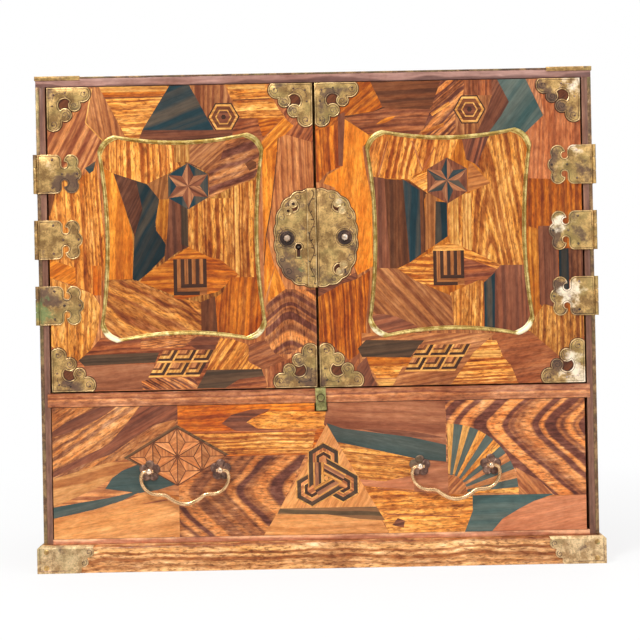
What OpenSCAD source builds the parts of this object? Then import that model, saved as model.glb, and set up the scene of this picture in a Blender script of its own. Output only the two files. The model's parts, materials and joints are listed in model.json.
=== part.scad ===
// Tabletop tansu cabinet: two hinged doors over one long drawer, on a plinth.
// Millimetres, +Z up, +X to the right, the front faces -Y.
// The origin lies under the middle of the whole cabinet, on the surface it stands on.

/* [Case] */
// Width of the case across its side boards
case_w = 392; // [340:1:440]
// Depth of the case from its front edges to its back
case_d = 222; // [180:1:260]
// Thickness of the side boards
side_t = 6.6; // [5:0.1:9]
// Thickness of the top board
top_t = 7; // [5:0.1:10]
// Thickness of the bottom board
bottom_t = 3.8; // [3:0.1:6]
// Thickness of the back board
back_t = 5; // [3:0.1:8]
// Height of the rail between the doors and the long drawer
rail_h = 9.8; // [8:0.1:14]
// Depth of that rail from front to back
rail_d = 24; // [16:1:40]
// Thickness of the shelf board behind the rail
shelf_t = 6; // [4:0.1:8]
// Depth of the grooves in the side boards that hold the rail and the shelf
dado_d = 2; // [1:0.1:3]

/* [Plinth] */
// Height of the plinth
plinth_h = 19.5; // [12:0.1:30]
// Thickness of the plinth boards
plinth_t = 12; // [8:0.5:18]
// How far the plinth boards stand out beyond the case at the sides
plinth_side_out = 3.4; // [1:0.1:6]
// How far the plinth board stands out beyond the case at the front
plinth_front_out = 4; // [1:0.1:8]
// Width of the bevel along the top edges of the plinth
plinth_bevel = 2; // [0.5:0.1:2.5]

/* [Doors] */
// Height of the opening that the doors close
door_opening_h = 216.3; // [180:1:260]
// Thickness of the door boards
door_t = 14; // [12:0.5:18]
// How far the door faces stand out of the case edges
door_proud = 0.25; // [0.2:0.01:0.4]
// Gap between a door and its side board
door_gap_side = 1.4; // [1:0.1:2]
// Gap under the doors
door_gap_bottom = 1.1; // [0.8:0.1:1.6]
// Gap above the doors
door_gap_top = 0.6; // [0.4:0.1:1]
// Gap between the two doors
seam_gap = 1.8; // [1.4:0.1:3]
// Where the middle of that gap lies, right of the cabinet's middle
seam_x = 0.1; // [-2:0.1:2]
// Bevel at the back of the meeting edges, so that they swing past each other
door_bevel = 1; // [0.8:0.1:2]
// Depth of the field let into each door
field_d = 4; // [3:0.1:6]
// How far the veneered panel lies below the door face
panel_below = 0.8; // [0.3:0.1:2]

/* [Panel bead] */
// Width of the cushion-shaped panel over its bead
field_w = 118; // [90:1:140]
// Height of the cushion-shaped panel over its bead
field_h = 147; // [110:1:170]
// How far the long and short sides of the bead draw in at their middles
field_bow = 4.7; // [2:0.1:8]
// Length of each corner cut along the sides of the bead
field_cut = 11.5; // [8:0.5:16]
// How far each corner cut swells outwards
field_swell = 2.4; // [1:0.1:4]
// Width of the bead
bead_w = 3.2; // [2:0.1:5]
// How far the bead stands out of the door face
bead_proud = 1; // [0.4:0.1:2]

/* [Hinges] */
// Distance between neighbouring hinges on one door
hinge_pitch = 46.4; // [36:0.1:60]
// Height of a hinge
hinge_h = 27.5; // [22:0.5:34]
// Outer radius of the hinge barrels
barrel_r = 1.3; // [1.2:0.05:1.4]
// Radius of the hinge pins
pin_r = 0.7; // [0.5:0.05:0.8]
// Running clearance round the hinge pins
pin_play = 0.05; // [0.03:0.01:0.08]
// Thickness of the hinge leaves
leaf_t = 0.8; // [0.6:0.05:0.9]
// How far the hinge axis lies outside the case face and the case side
axis_out = 1.1; // [1.05:0.01:1.2]
// Gap between the knuckles of a hinge
knuckle_gap = 0.3; // [0.2:0.05:0.5]
// Gap between a knuckle and the leaf that it turns past
knuckle_side_gap = 0.2; // [0.15:0.05:0.4]
// Reach of the front leaf from the hinge axis
front_leaf_l = 32.8; // [26:0.1:40]
// Reach of the side leaf from the hinge axis
side_leaf_l = 21; // [14:0.5:30]

/* [Mounts] */
// Thickness of the brass plates on the doors and the plinth
plate_t = 0.7; // [0.5:0.05:1]
// Length of the legs of the door corner mounts
corner_leg = 31; // [24:0.5:38]
// Length of the plinth corner mounts along the front
plinth_mount_l = 40; // [30:1:55]
// Length of the straps on the top corners
strap_l = 32; // [20:1:50]
// Height of the straps on the front edge of the top board
strap_h = 2.4; // [1.5:0.1:5]
// Width of the straps on top of the top board
strap_d = 5; // [3:0.5:10]
// Reach of the straps along the sides of the top board
strap_side_l = 16; // [8:1:40]
// Width of the edge strips let into the side boards
strip_w = 2.5; // [1.5:0.1:4]
// Width of the edge strip let into the top board
top_strip_w = 1.3; // [0.8:0.1:3]
// Thickness of the edge strips
strip_t = 0.6; // [0.4:0.1:1]
// Radius of the small nail heads
nail_r = 0.95; // [0.6:0.05:1.2]
// Height of the small nail heads
nail_h = 0.5; // [0.3:0.05:0.8]
// Radius of the small nail heads on the door corner mounts
mount_nail_r = 0.76; // [0.5:0.02:1]
// Radius of the large nail heads on the plinth
big_nail_r = 2; // [1.5:0.1:3]

/* [Lock] */
// Width of the scalloped lock plate
lock_plate_w = 59.4; // [48:0.2:72]
// Height of the scalloped lock plate
lock_plate_h = 70; // [56:0.5:84]
// Depth of the scallops round the lock plate
scallop_d = 1.1; // [0.5:0.1:2]
// Number of scallops round the lock plate
scallops = 20; // [14:2:26]
// How far the lock plate's middle lies below the middle of the doors
lock_drop = 2; // [0:0.5:20]
// Width of the astragal strip on the left door
astragal_w = 7; // [5:0.1:9]
// How far the astragal strip stands out of the lock plate
astragal_h = 1.6; // [1:0.1:3]
// Gap between the astragal strip and the right door
astragal_gap = 0.3; // [0.2:0.05:0.6]
// Distance of the round pulls from the middle of the gap between the doors
pull_x = 20.3; // [14:0.1:26]
// Outer radius of the round pulls
pull_r = 5.3; // [4:0.1:7]
// How far the round pulls stand out of the lock plate
pull_h = 5; // [3:0.1:8]
// Radius of the keyhole
key_hole_r = 2.25; // [1.8:0.05:3]
// Distance of the keyhole from the middle of the gap between the doors
key_x = 12.4; // [9:0.1:16]
// How far the keyhole lies below the lock plate's middle
key_drop = 6.2; // [3:0.1:12]
// Width of the slot under the keyhole, which the key's bit passes
key_slot_w = 2.25; // [1.5:0.05:3]
// Length of that slot below the middle of the keyhole
key_slot_l = 7; // [5:0.1:9]
// Radius of the post that guides the key
key_post_r = 0.95; // [0.6:0.05:1.2]
// Width of the lock case
lock_w = 26; // [22:0.5:34]
// Height of the lock case
lock_h = 34; // [28:1:50]
// Thickness of the lock case
lock_t = 8; // [7:0.1:10]
// Wall of the lock case
lock_wall = 1.2; // [0.8:0.1:1.6]
// Height of the lock bolt
bolt_h = 8; // [6:0.5:12]
// Thickness of the lock bolt
bolt_t = 2.8; // [2:0.1:4]
// Space in the lock case behind the bolt
bolt_rear_gap = 2; // [1:0.1:6]
// How far the bolt's middle lies above the lock plate's middle
bolt_up = 4; // [2:0.5:8]
// Travel of the lock bolt
bolt_throw = 6; // [5:0.1:8]
// Space left in the keeper's mouth beyond the thrown bolt
keeper_end_gap = 2.3; // [2:0.1:4]
// Play of the bolt in the keeper's mouth
keeper_play = 0.4; // [0.2:0.05:0.6]
// Wall of the keeper behind its mouth
keeper_wall = 1; // [0.8:0.1:2]

/* [Turn button] */
// Share of the rail's height at which the rivet of the turn button stands
rivet_up = 0.36; // [0.3:0.01:0.45]
// Width of the turn button
button_w = 7.4; // [5:0.1:10]
// Reach of the turn button below its rivet
button_low = 9; // [7:0.1:12]
// Thickness of the turn button
button_t = 1.2; // [0.8:0.1:1.6]
// How far the turn button stands off the rail
button_off = 1.3; // [1.2:0.05:1.6]
// Where the rivet of the turn button stands, right of the cabinet's middle
button_x = 1.3; // [-3:0.1:3]
// Lean of the turn button to the left, in degrees
button_lean = 2; // [0:0.5:4]
// Gap between the turn button and the doors above it
button_gap = 0.25; // [0.2:0.05:0.5]
// Radius of the rivet
rivet_r = 1.5; // [1:0.1:2]
// Running clearance round the rivet
rivet_play = 0.06; // [0.03:0.01:0.1]
// Depth of the rivet in the rail
rivet_depth = 10; // [6:0.5:14]
// How far the rivet's head and washer reach beyond its shank
rivet_head_out = 1; // [0.6:0.1:1.4]
// Thickness of the rivet's head
rivet_head_t = 0.9; // [0.5:0.1:1.2]
// Gap between the turn button and the rivet's head and washer
rivet_gap = 0.1; // [0.05:0.01:0.2]
// Room round the turn button in the relief of the drawer front
button_relief = 0.8; // [0.5:0.1:1.2]

/* [Long drawer] */
// Height of the opening for the long drawer
drawer_opening_h = 93.2; // [70:1:120]
// Gap at the left end of the drawer front
drawer_gap_left = 0.7; // [0.5:0.1:1.5]
// Gap at the right end of the drawer front
drawer_gap_right = 2.2; // [0.5:0.1:3]
// Gap above the drawer front
drawer_gap_top = 0.3; // [0.2:0.05:0.8]
// Running gap under the drawer
drawer_gap_bottom = 0.2; // [0.1:0.05:0.4]
// Thickness of the drawer front
drawer_front_t = 12; // [9:0.5:16]
// Thickness of the drawer sides
drawer_side_t = 7; // [5:0.5:9]
// Thickness of the drawer back
drawer_back_t = 6; // [4:0.5:9]
// Thickness of the drawer bottom
drawer_bottom_t = 4; // [3:0.5:6]
// Space between the drawer and the back board
drawer_back_gap = 11; // [3:0.5:60]
// How far the drawer's sides and back end below the top of its front
drawer_wall_drop = 4; // [2:0.5:12]
// How far the drawer bottom lies above the lower edge of the drawer sides
drawer_bottom_up = 3; // [1:0.5:6]
// Depth of the grooves that hold the drawer bottom
drawer_groove_d = 3; // [2:0.5:4]

/* [Bail pulls] */
// Distance of the bail pulls from the cabinet's middle
bail_x = 95.2; // [60:0.5:130]
// Half of the distance between the two posts of a bail pull
post_half = 25; // [18:0.5:34]
// How far the posts stand above the middle of the drawer opening
post_up = 0.6; // [-10:0.1:15]
// Half of the width of a bail at its widest
bail_half_w = 30.8; // [24:0.2:42]
// Drop of a bail below its posts
bail_drop = 23.2; // [16:0.2:32]
// Radius of the bail rod at its ends
bail_end_r = 1.15; // [0.9:0.05:1.2]
// Radius of the bail rod at its middle
bail_mid_r = 1.65; // [1.3:0.05:2.2]
// Distance of the post heads from the drawer face
post_out = 5.2; // [4.6:0.1:8]
// Radius of the post heads
post_head_r = 2.4; // [2.2:0.1:3]
// Radius of the post stems
post_stem_r = 1.4; // [1.2:0.1:2]
// Clearance round the posts in the drawer front and in the rosettes
post_play = 0.15; // [0.1:0.01:0.3]
// Radius of the holes through the post heads
post_bore_r = 1.23; // [1.2:0.01:1.3]
// Radius of the five petals of a rosette
petal_r = 3.4; // [2.8:0.1:4.5]
// Distance of the petals from the middle of a rosette
petal_ring = 4.2; // [3.4:0.1:5.5]
// Thickness of the rosettes
rosette_t = 1.3; // [0.8:0.1:2]
// Thickness of the clinched ends of the posts inside the drawer
clinch_t = 1; // [0.6:0.1:1.6]
// Length of the bail's round ends beyond the post heads
bail_end_gap = 0.2; // [0.1:0.05:0.5]
// Length of the bail's round ends within the post heads
bail_stub_in = 0.6; // [0.4:0.1:1.2]
// Step from a bail's round ends to its rod
bail_shoulder = 0.12; // [0.1:0.01:0.3]

/* [Inner drawers] */
// Space between the closed doors and the inner drawers
nest_gap = 13; // [12:0.5:20]
// Thickness of the boards that line the sides of the inner drawers
nest_side_t = 10.8; // [10:0.1:16]
// Thickness of the board between the two columns of inner drawers
divider_t = 10; // [8:0.5:14]
// Thickness of the shelf between two inner drawers
inner_shelf_t = 6; // [4:0.5:9]
// Number of inner drawers in each column
inner_rows = 2; // [2:1:2]
// Gap round the inner drawer fronts
inner_gap = 0.5; // [0.3:0.1:1]
// Thickness of the inner drawer fronts
inner_front_t = 9; // [7:0.5:12]
// Thickness of the other inner drawer walls
inner_wall_t = 5; // [4:0.5:8]
// Thickness of the inner drawer bottoms
inner_bottom_t = 3; // [2:0.5:5]
// How far the inner drawers' sides end below the top of their fronts
inner_wall_drop = 3; // [1:0.5:8]
// Gap between the closed doors and the divider that stops them
stop_gap = 0.3; // [0.2:0.05:0.5]
// Space behind the inner drawers
inner_back_gap = 6; // [3:0.5:12]
// Radius of the inner drawer knobs
knob_r = 5.5; // [4:0.5:8]
// How far the inner drawer knobs stand out
knob_h = 8; // [6:0.5:9]

/* [Hidden] */
$fn = 48;

// Colours of the woods and metals
dark_wood = [0.30, 0.15, 0.12];
rail_wood = [0.52, 0.27, 0.16];
plinth_wood = [0.66, 0.40, 0.20];
veneer_gold = [0.85, 0.50, 0.16];
veneer_salmon = [0.78, 0.44, 0.26];
plain_wood = [0.72, 0.55, 0.36];
aged_brass = [0.60, 0.50, 0.33];
bright_brass = [0.86, 0.74, 0.42];
bail_copper = [0.85, 0.66, 0.48];
dark_brass = [0.38, 0.28, 0.24];
button_green = [0.48, 0.49, 0.32];

left = -1;
right = 1;
eps = 0.01;

// Heights
drawer_z0 = plinth_h + bottom_t;
rail_z0 = drawer_z0 + drawer_opening_h;
shelf_top = rail_z0 + rail_h;
top_z0 = shelf_top + door_opening_h;
top_z = top_z0 + top_t;
door_z0 = shelf_top + door_gap_bottom;
door_h = door_opening_h - door_gap_bottom - door_gap_top;
door_mid_z = door_z0 + door_h / 2;

// Depths, from the front of the case edges
pull_reach = door_proud + plate_t + pull_h;
post_tip = post_head_r * sin(70);
front_reach = max(post_out + post_tip, pull_reach, plinth_front_out + plate_t);
front_y = (front_reach - case_d) / 2;
back_y = front_y + case_d;
door_face = front_y - door_proud;
door_back = door_face + door_t;
plinth_front_y = front_y - plinth_front_out;

// Widths
inside_x = case_w / 2 - side_t;
plinth_x = case_w / 2 + plinth_side_out;

// Hinges
axis_x = case_w / 2 + axis_out;
axis_y = front_y - axis_out;
hinge_zs = [for (i = [-1:1]) door_mid_z + i * hinge_pitch];
knuckle_h = (hinge_h - 2 * knuckle_gap) / 3;
knuckle_clear = barrel_r + knuckle_side_gap;

// Plates and lock
plate_front = door_face - plate_t;
lock_z = door_mid_z - lock_drop;
key_z = lock_z - key_drop;
bolt_z = lock_z + bolt_up;
lock_case_z0 = lock_z - lock_h / 2;
lock_left_edge = door_free_x(left) - door_bevel;
bolt_y = door_back - lock_t / 2;
keeper_x = door_free_x(right) + door_bevel;
keeper_mouth_d = bolt_throw - seam_gap - 2 * door_bevel + keeper_end_gap;
keeper_w = keeper_mouth_d + keeper_wall;

// Turn button
rivet_z = rail_z0 + rail_h * rivet_up;
button_back = front_y - button_off;
button_front = button_back - button_t;
button_up = door_z0 - button_gap - rivet_z - button_w / 2 * sin(button_lean);

// Long drawer
drawer_x0 = -inside_x + drawer_gap_left;
drawer_x1 = inside_x - drawer_gap_right;
drawer_bottom_z = drawer_z0 + drawer_gap_bottom;
drawer_top_z = rail_z0 - drawer_gap_top;
drawer_inner_y = front_y + drawer_front_t;
drawer_back_y = back_y - back_t - drawer_back_gap;
drawer_lap = drawer_front_t / 2;
drawer_floor_z = drawer_bottom_z + drawer_bottom_up;
wall_top_z = drawer_top_z - drawer_wall_drop;
post_z = drawer_z0 + drawer_opening_h / 2 + post_up;
post_y = front_y - post_out;
bail_end_x = post_half + post_head_r + bail_end_gap;
bail_stub_x = post_half - post_head_r - bail_stub_in;

// Inner drawers
nest_y = door_back + nest_gap;
nest_back_y = back_y - back_t;
nest_x = inside_x - nest_side_t;
row_h = (door_opening_h - (inner_rows - 1) * inner_shelf_t) / inner_rows;
inner_w = nest_x - divider_t / 2 - 2 * inner_gap;
inner_h = row_h - drawer_gap_bottom - inner_gap;
inner_d = nest_back_y - nest_y - inner_back_gap;

// Play of what is let into a pocket, and of what is driven into a hole
pocket_play = 0.1;
snug = 0.02;
// How far a cut reaches beyond what it cuts
over = 1;

function door_outer_x(s) = s * (inside_x - door_gap_side);
function door_free_x(s) = seam_x + s * seam_gap / 2;
function door_mid_x(s) = (door_outer_x(s) + door_free_x(s)) / 2;

// A box between two opposite corners
module block(a, b) {
    low = [for (i = [0:2]) min(a[i], b[i])];
    high = [for (i = [0:2]) max(a[i], b[i])];
    translate(low) cube(high - low);
}

// A flat outline drawn in X and Z, standing from y0 back to y1
module upright(y0, y1) {
    translate([0, y1, 0]) rotate([90, 0, 0]) linear_extrude(y1 - y0) children();
}

// A cylinder along Y from y0 back to y1
module peg(x, z, y0, y1, r) {
    translate([x, y1, z]) rotate([90, 0, 0]) cylinder(h = y1 - y0, r = r);
}

// A cylinder along X from x0 to x1
module crosspin(x0, x1, y, z, r) {
    translate([x0, y, z]) rotate([0, 90, 0]) cylinder(h = x1 - x0, r = r);
}

// What is drawn for the left side of the cabinet, on either side
module mirrored(s) {
    mirror([s == right ? 1 : 0, 0, 0]) children();
}

// A domed nail head on a face that looks towards -Y
module nail_head(x, z, y, r, h) {
    translate([x, y, z]) rotate([90, 0, 0])
        rotate_extrude() polygon([[0, 0], [r, 0], [r * 0.92, h * 0.45], [r * 0.6, h * 0.85], [0, h]]);
}

// Case

module case_side(s) {
    x_cut = s * (inside_x - over);
    x_groove = s * (inside_x + dado_d);
    color(dark_wood) difference() {
        block([s * inside_x, front_y, plinth_h], [s * case_w / 2, back_y, top_z0]);
        block([x_cut, front_y - over, rail_z0], [x_groove, front_y + rail_d, shelf_top]);
        block([x_cut, front_y + rail_d - eps, shelf_top - shelf_t], [x_groove, nest_back_y, shelf_top]);
        side_strip_shape(s, over);
    }
}

// The brass angle let into the front corner of a side board
module side_strip_shape(s, grown) {
    x = s * case_w / 2;
    z0 = plinth_h - grown;
    translate([0, 0, z0]) linear_extrude(top_z0 + grown - z0)
        polygon([
            [x + s * grown, front_y - grown],
            [x - s * strip_w, front_y - grown],
            [x - s * strip_w, front_y + strip_t],
            [x - s * strip_t, front_y + strip_t],
            [x - s * strip_t, front_y + strip_w],
            [x + s * grown, front_y + strip_w]
        ]);
}

// The brass angle let into the front edge of the top board
module top_strip_shape(grown) {
    reach = case_w / 2 + grown;
    translate([-reach, 0, 0]) rotate([90, 0, 90]) linear_extrude(2 * reach)
        polygon([
            [front_y - grown, top_z + grown],
            [front_y - grown, top_z - top_strip_w],
            [front_y + strip_t, top_z - top_strip_w],
            [front_y + strip_t, top_z - strip_t],
            [front_y + strip_w, top_z - strip_t],
            [front_y + strip_w, top_z + grown]
        ]);
}

module case_top() {
    color(dark_wood) difference() {
        block([-case_w / 2, front_y, top_z0], [case_w / 2, back_y, top_z]);
        top_strip_shape(over);
    }
}

module case_bottom() {
    color(dark_wood)
        block([-inside_x, front_y, plinth_h], [inside_x, nest_back_y, drawer_z0]);
}

module case_back() {
    color(plain_wood)
        block([-inside_x, nest_back_y, plinth_h], [inside_x, back_y, top_z0]);
}

module shelf_rail() {
    reach = inside_x + dado_d;
    color(rail_wood) difference() {
        block([-reach, front_y, rail_z0], [reach, front_y + rail_d, shelf_top]);
        peg(button_x, rivet_z, front_y - over, front_y + rivet_depth, rivet_r + snug);
    }
}

module shelf_board() {
    reach = inside_x + dado_d;
    color(plain_wood)
        block([-reach, front_y + rail_d, shelf_top - shelf_t], [reach, nest_back_y, shelf_top]);
}

module edge_strips() {
    color(aged_brass) {
        for (s = [left, right]) side_strip_shape(s, 0);
        top_strip_shape(0);
    }
}

// Plinth

// The whole plinth as one block with bevelled top edges, grown outwards by out
module plinth_block(out) {
    x = plinth_x + out;
    y = plinth_front_y - out;
    z = plinth_h - plinth_bevel;
    b = plinth_bevel;
    bevel = [[-eps, 0], [-eps, b + eps], [b, b + eps], [b, b]];
    difference() {
        block([-x, y, 0], [x, back_y, plinth_h]);
        translate([-x - over, y, z]) rotate([90, 0, 90]) linear_extrude(2 * (x + over)) polygon(bevel);
        for (s = [left, right])
            translate([s * x, 0, z]) mirrored(s) upright(y - over, back_y + over) polygon(bevel);
    }
}

module plinth_board(low, high) {
    color(plinth_wood) intersection() {
        plinth_block(0);
        block(low, high);
    }
}

module plinth_front() {
    plinth_board([-plinth_x - over, plinth_front_y - over, 0],
                 [plinth_x + over, plinth_front_y + plinth_t, plinth_h]);
}

module plinth_back() {
    plinth_board([-plinth_x - over, back_y - plinth_t, 0], [plinth_x + over, back_y, plinth_h]);
}

module plinth_side(s) {
    plinth_board([s * (plinth_x - plinth_t), plinth_front_y + plinth_t, 0],
                 [s * (plinth_x + over), back_y - plinth_t, plinth_h]);
}

// The slanting, scalloped end of a plinth mount, drawn from the cabinet's corner at 0.
// Points are shares of its length and height, and a lobe ends with its radius as a share of the height.
module plinth_mount_outline() {
    slant = [[0, 0], [0.72, 0], [0.90, 0.6], [1, 1], [0, 1]];
    lobes = [[0.90, 0.76, 0.20], [0.81, 0.40, 0.18], [0.70, 0.13, 0.16]];
    intersection() {
        square([plinth_mount_l, plinth_h]);
        union() {
            polygon([for (p = slant) [plinth_mount_l * p[0], plinth_h * p[1]]]);
            for (lobe = lobes)
                translate([plinth_mount_l * lobe[0], plinth_h * lobe[1]])
                    circle(plinth_h * lobe[2]);
        }
    }
}

// A thin shell over the front corner, cut to the scalloped outline on both faces
module plinth_corner_mount(s) {
    corner_y = plinth_front_y - plate_t;
    difference() {
        intersection() {
            plinth_block(plate_t);
            translate([s * (plinth_x + plate_t), 0, 0]) mirrored(s) {
                upright(corner_y, plinth_front_y + plinth_bevel) plinth_mount_outline();
                translate([0, corner_y, 0]) rotate([90, 0, 90])
                    linear_extrude(plate_t + plinth_bevel) plinth_mount_outline();
            }
        }
        plinth_block(0);
    }
}

module plinth_corner_mounts() {
    color(aged_brass) for (s = [left, right]) plinth_corner_mount(s);
}

// Straps over the top corners: a top leg, a front leg and a side leg in one bent plate
module corner_strap(s) {
    translate([s * (case_w / 2 + strip_t), 0, 0]) mirrored(s) {
        block([0, front_y - strip_t, top_z], [strap_l, front_y + strap_d, top_z + strip_t]);
        block([0, front_y - strip_t, top_z - strap_h], [strap_l, front_y, top_z]);
        block([0, front_y, top_z - strap_h], [strip_t, front_y + strap_side_l, top_z]);
        block([0, front_y + strap_d, top_z], [strap_d, front_y + strap_side_l, top_z + strip_t]);
    }
}

module corner_straps() {
    color(aged_brass) for (s = [left, right]) corner_strap(s);
}

// Nails of a plinth mount, as shares of its length and height
plinth_nails = [[0.1625, 0.78], [0.1625, 0.2]];

module case_nails() {
    face_y = plinth_front_y - plate_t;
    color(dark_brass) for (s = [left, right]) {
        for (n = plinth_nails)
            nail_head(s * (plinth_x + plate_t - n[0] * plinth_mount_l), n[1] * plinth_h, face_y,
                      big_nail_r, nail_h);
        for (z = hinge_zs, n = side_leaf_nails)
            translate([s * (case_w / 2 + leaf_t), axis_y + n[0] * side_leaf_l, z + n[1] * hinge_h])
                rotate([0, 0, s * 90]) nail_head(0, 0, 0, nail_r, nail_h);
    }
}

// Hinges

// Nails of the hinge leaves, as shares of their reach and height
side_leaf_nails = [[0.35, 0.35], [0.35, -0.35], [0.78, 0]];
front_leaf_nails = [[0.37, 0.37], [0.37, -0.35], [0.58, 0], [0.91, 0]];

// Height of the bottom of knuckle i, counted from the middle of the hinge
function knuckle_z(i) = -hinge_h / 2 + i * (knuckle_h + knuckle_gap);

// Outline of the front leaf, with its comma notches and cloud-shaped end.
// It starts at the hinge axis and reaches to +X, with the hinge's middle at 0.
module front_leaf_outline() {
    body_l = front_leaf_l * 0.57;
    round_r = hinge_h * 0.15;
    waist = hinge_h * 0.24;
    lobe_r = hinge_h * 0.19;
    lobe_x = front_leaf_l * 0.78;
    lobe_z = hinge_h / 2 - lobe_r;
    lobe_l = lobe_r * 0.86;
    tip_r = hinge_h * 0.2;
    notch_x = front_leaf_l * 0.634;
    notch_r = hinge_h * 0.08;
    difference() {
        union() {
            translate([0, -hinge_h / 2]) square([body_l - round_r, hinge_h]);
            translate([0, -hinge_h / 2 + round_r]) square([body_l, hinge_h - 2 * round_r]);
            for (e = [-1, 1]) {
                translate([body_l - round_r, e * (hinge_h / 2 - round_r)]) circle(round_r);
                translate([lobe_x, e * lobe_z]) circle(lobe_r);
            }
            translate([body_l - round_r, -waist]) square([lobe_x - body_l + round_r, 2 * waist]);
            translate([lobe_x, -lobe_z]) square([lobe_l, 2 * lobe_z]);
            translate([front_leaf_l - tip_r, 0]) circle(tip_r);
        }
        for (e = [-1, 1]) translate([notch_x, e * waist]) circle(notch_r);
    }
}

// A door's leaf: it lies on the door face and reaches over the case edge to the barrel
module door_leaf(z) {
    y1 = door_face;
    difference() {
        translate([0, 0, z]) upright(y1 - leaf_t, y1) front_leaf_outline();
        for (i = [0, 2])
            block([-over, y1 - leaf_t - over, z + knuckle_z(i) - knuckle_gap],
                  [knuckle_clear, y1 + over, z + knuckle_z(i) + knuckle_h + knuckle_gap]);
    }
    translate([0, axis_y, z + knuckle_z(1)]) cylinder(h = knuckle_h, r = barrel_r);
}

// The case's leaf: it lies on the outside of the side board
module case_leaf(z) {
    x0 = axis_out - leaf_t;
    difference() {
        block([x0, axis_y, z - hinge_h / 2], [axis_out, axis_y + side_leaf_l, z + hinge_h / 2]);
        block([x0 - over, axis_y - over, z + knuckle_z(1) - knuckle_gap],
              [axis_out + over, axis_y + knuckle_clear, z + knuckle_z(1) + knuckle_h + knuckle_gap]);
    }
    for (i = [0, 2])
        translate([0, axis_y, z + knuckle_z(i)]) cylinder(h = knuckle_h, r = barrel_r);
}

// Places hinge parts, drawn for the left side, on either side
module at_hinge(s) {
    translate([s * axis_x, 0, 0]) mirrored(s) children();
}

module hinge_bores(s, r) {
    for (z = hinge_zs)
        translate([s * axis_x, axis_y, z - hinge_h / 2 - over]) cylinder(h = hinge_h + 2 * over, r = r);
}

module hinge_leaves(s) {
    color(aged_brass) difference() {
        at_hinge(s) for (z = hinge_zs) door_leaf(z);
        hinge_bores(s, pin_r + pin_play);
    }
}

module hinge_case_leaves() {
    color(aged_brass) for (s = [left, right]) difference() {
        at_hinge(s) for (z = hinge_zs) case_leaf(z);
        hinge_bores(s, pin_r + snug);
    }
}

module hinge_pins() {
    color(dark_brass) for (s = [left, right], z = hinge_zs)
        translate([s * axis_x, axis_y, z - hinge_h / 2]) cylinder(h = hinge_h, r = pin_r);
}

// Doors

function bow_at(v, reach, depth) = depth * (1 - pow(v / reach, 2));

// One quarter of the cushion-shaped outline, from its right middle to its top middle
function field_quarter(hw, hh, steps) = let (sx = hw - field_cut, sy = hh - field_cut) concat(
    [for (i = [0:steps]) let (v = sy * i / steps) [hw - bow_at(v, sy, field_bow), v]],
    [for (i = [1:steps - 1]) let (t = i / steps, out = field_swell * sin(180 * t) * 0.7)
        [hw - field_cut * t + out, sy + field_cut * t + out]],
    [for (i = [0:steps]) let (u = sx * (1 - i / steps)) [u, hh - bow_at(u, sx, field_bow)]]
);

function turned(points, sx, sy) = [for (p = points) [p[0] * sx, p[1] * sy]];
function backwards(points) = [for (i = [len(points) - 1:-1:0]) points[i]];
function without_last(points) = [for (i = [0:len(points) - 2]) points[i]];

function field_outline(inset) =
    let (q = field_quarter(field_w / 2 - inset, field_h / 2 - inset, 8))
    concat(
        without_last(q),
        without_last(backwards(turned(q, -1, 1))),
        without_last(turned(q, -1, -1)),
        without_last(backwards(turned(q, 1, -1)))
    );

module at_field(s) {
    translate([door_mid_x(s), 0, door_mid_z]) children();
}

module door_board(s) {
    outer = door_outer_x(s);
    free = door_free_x(s);
    color(veneer_salmon) difference() {
        translate([0, 0, door_z0]) linear_extrude(door_h) polygon([
            [outer, door_face], [free, door_face],
            [free + s * door_bevel, door_back], [outer, door_back]
        ]);
        at_field(s) upright(door_face - over, door_face + field_d) polygon(field_outline(0));
        if (s == left) {
            block([lock_left_edge - lock_w - pocket_play, door_back - lock_t - pocket_play,
                   lock_case_z0 - pocket_play],
                  [free + over, door_back + over, lock_case_z0 + lock_h + pocket_play]);
            key_passage(door_face - over, door_back);
        }
        if (s == right) keeper_shape(over);
    }
}

// The round and slotted way that the key takes through plate and door
module key_passage(y0, y1) {
    x = seam_x - key_x;
    peg(x, key_z, y0, y1, key_hole_r);
    block([x - key_slot_w / 2, y0, key_z - key_slot_l], [x + key_slot_w / 2, y1, key_z]);
}

module door_panel(s) {
    color(veneer_gold) at_field(s)
        upright(door_face + panel_below, door_face + field_d) polygon(field_outline(pocket_play));
}

module door_bead(s) {
    color(bright_brass) at_field(s)
        upright(door_face - bead_proud, door_face + panel_below) difference() {
            polygon(field_outline(pocket_play));
            polygon(field_outline(bead_w));
        }
}

// Shape of a door corner mount in shares of its leg: the band along each edge, and the rounds,
// each with the x and z of its centre and its radius
mount_band = 0.275;
mount_arm = 0.84;
mount_ends = [[0.806, 0.148, 0.194], [0.148, 0.806, 0.194]];
mount_volutes = [[0.632, 0.406, 0.142], [0.413, 0.626, 0.155]];
mount_crescent = [0.406, 0.400, 0.148];

module mount_rounds(rounds) {
    for (r = rounds) translate(corner_leg * [r[0], r[1]]) circle(corner_leg * r[2]);
}

// A corner mount, drawn from the door's corner at 0 with its legs along +X and +Z
module corner_mount_outline() {
    band = corner_leg * mount_band;
    arm = corner_leg * mount_arm;
    web = arm - corner_leg * mount_ends[0][2];
    difference() {
        union() {
            square([arm, band]);
            square([band, arm]);
            polygon([[0, 0], [web, band], [band, web]]);
            intersection() {
                square(corner_leg);
                mount_rounds(concat(mount_ends, mount_volutes));
            }
        }
        difference() {
            mount_rounds([mount_crescent]);
            mount_rounds(mount_volutes);
        }
    }
}

// Draws what belongs to a door's corner at each of its four corners
module at_door_corners(s) {
    for (free_side = [false, true], top = [0, 1])
        translate([free_side ? door_free_x(s) : door_outer_x(s), 0, door_z0 + top * door_h])
            mirrored(free_side ? -s : s) mirror([0, 0, top]) children();
}

module door_corner_mounts(s) {
    color(aged_brass) at_door_corners(s)
        upright(plate_front, door_face) corner_mount_outline();
}

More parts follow.
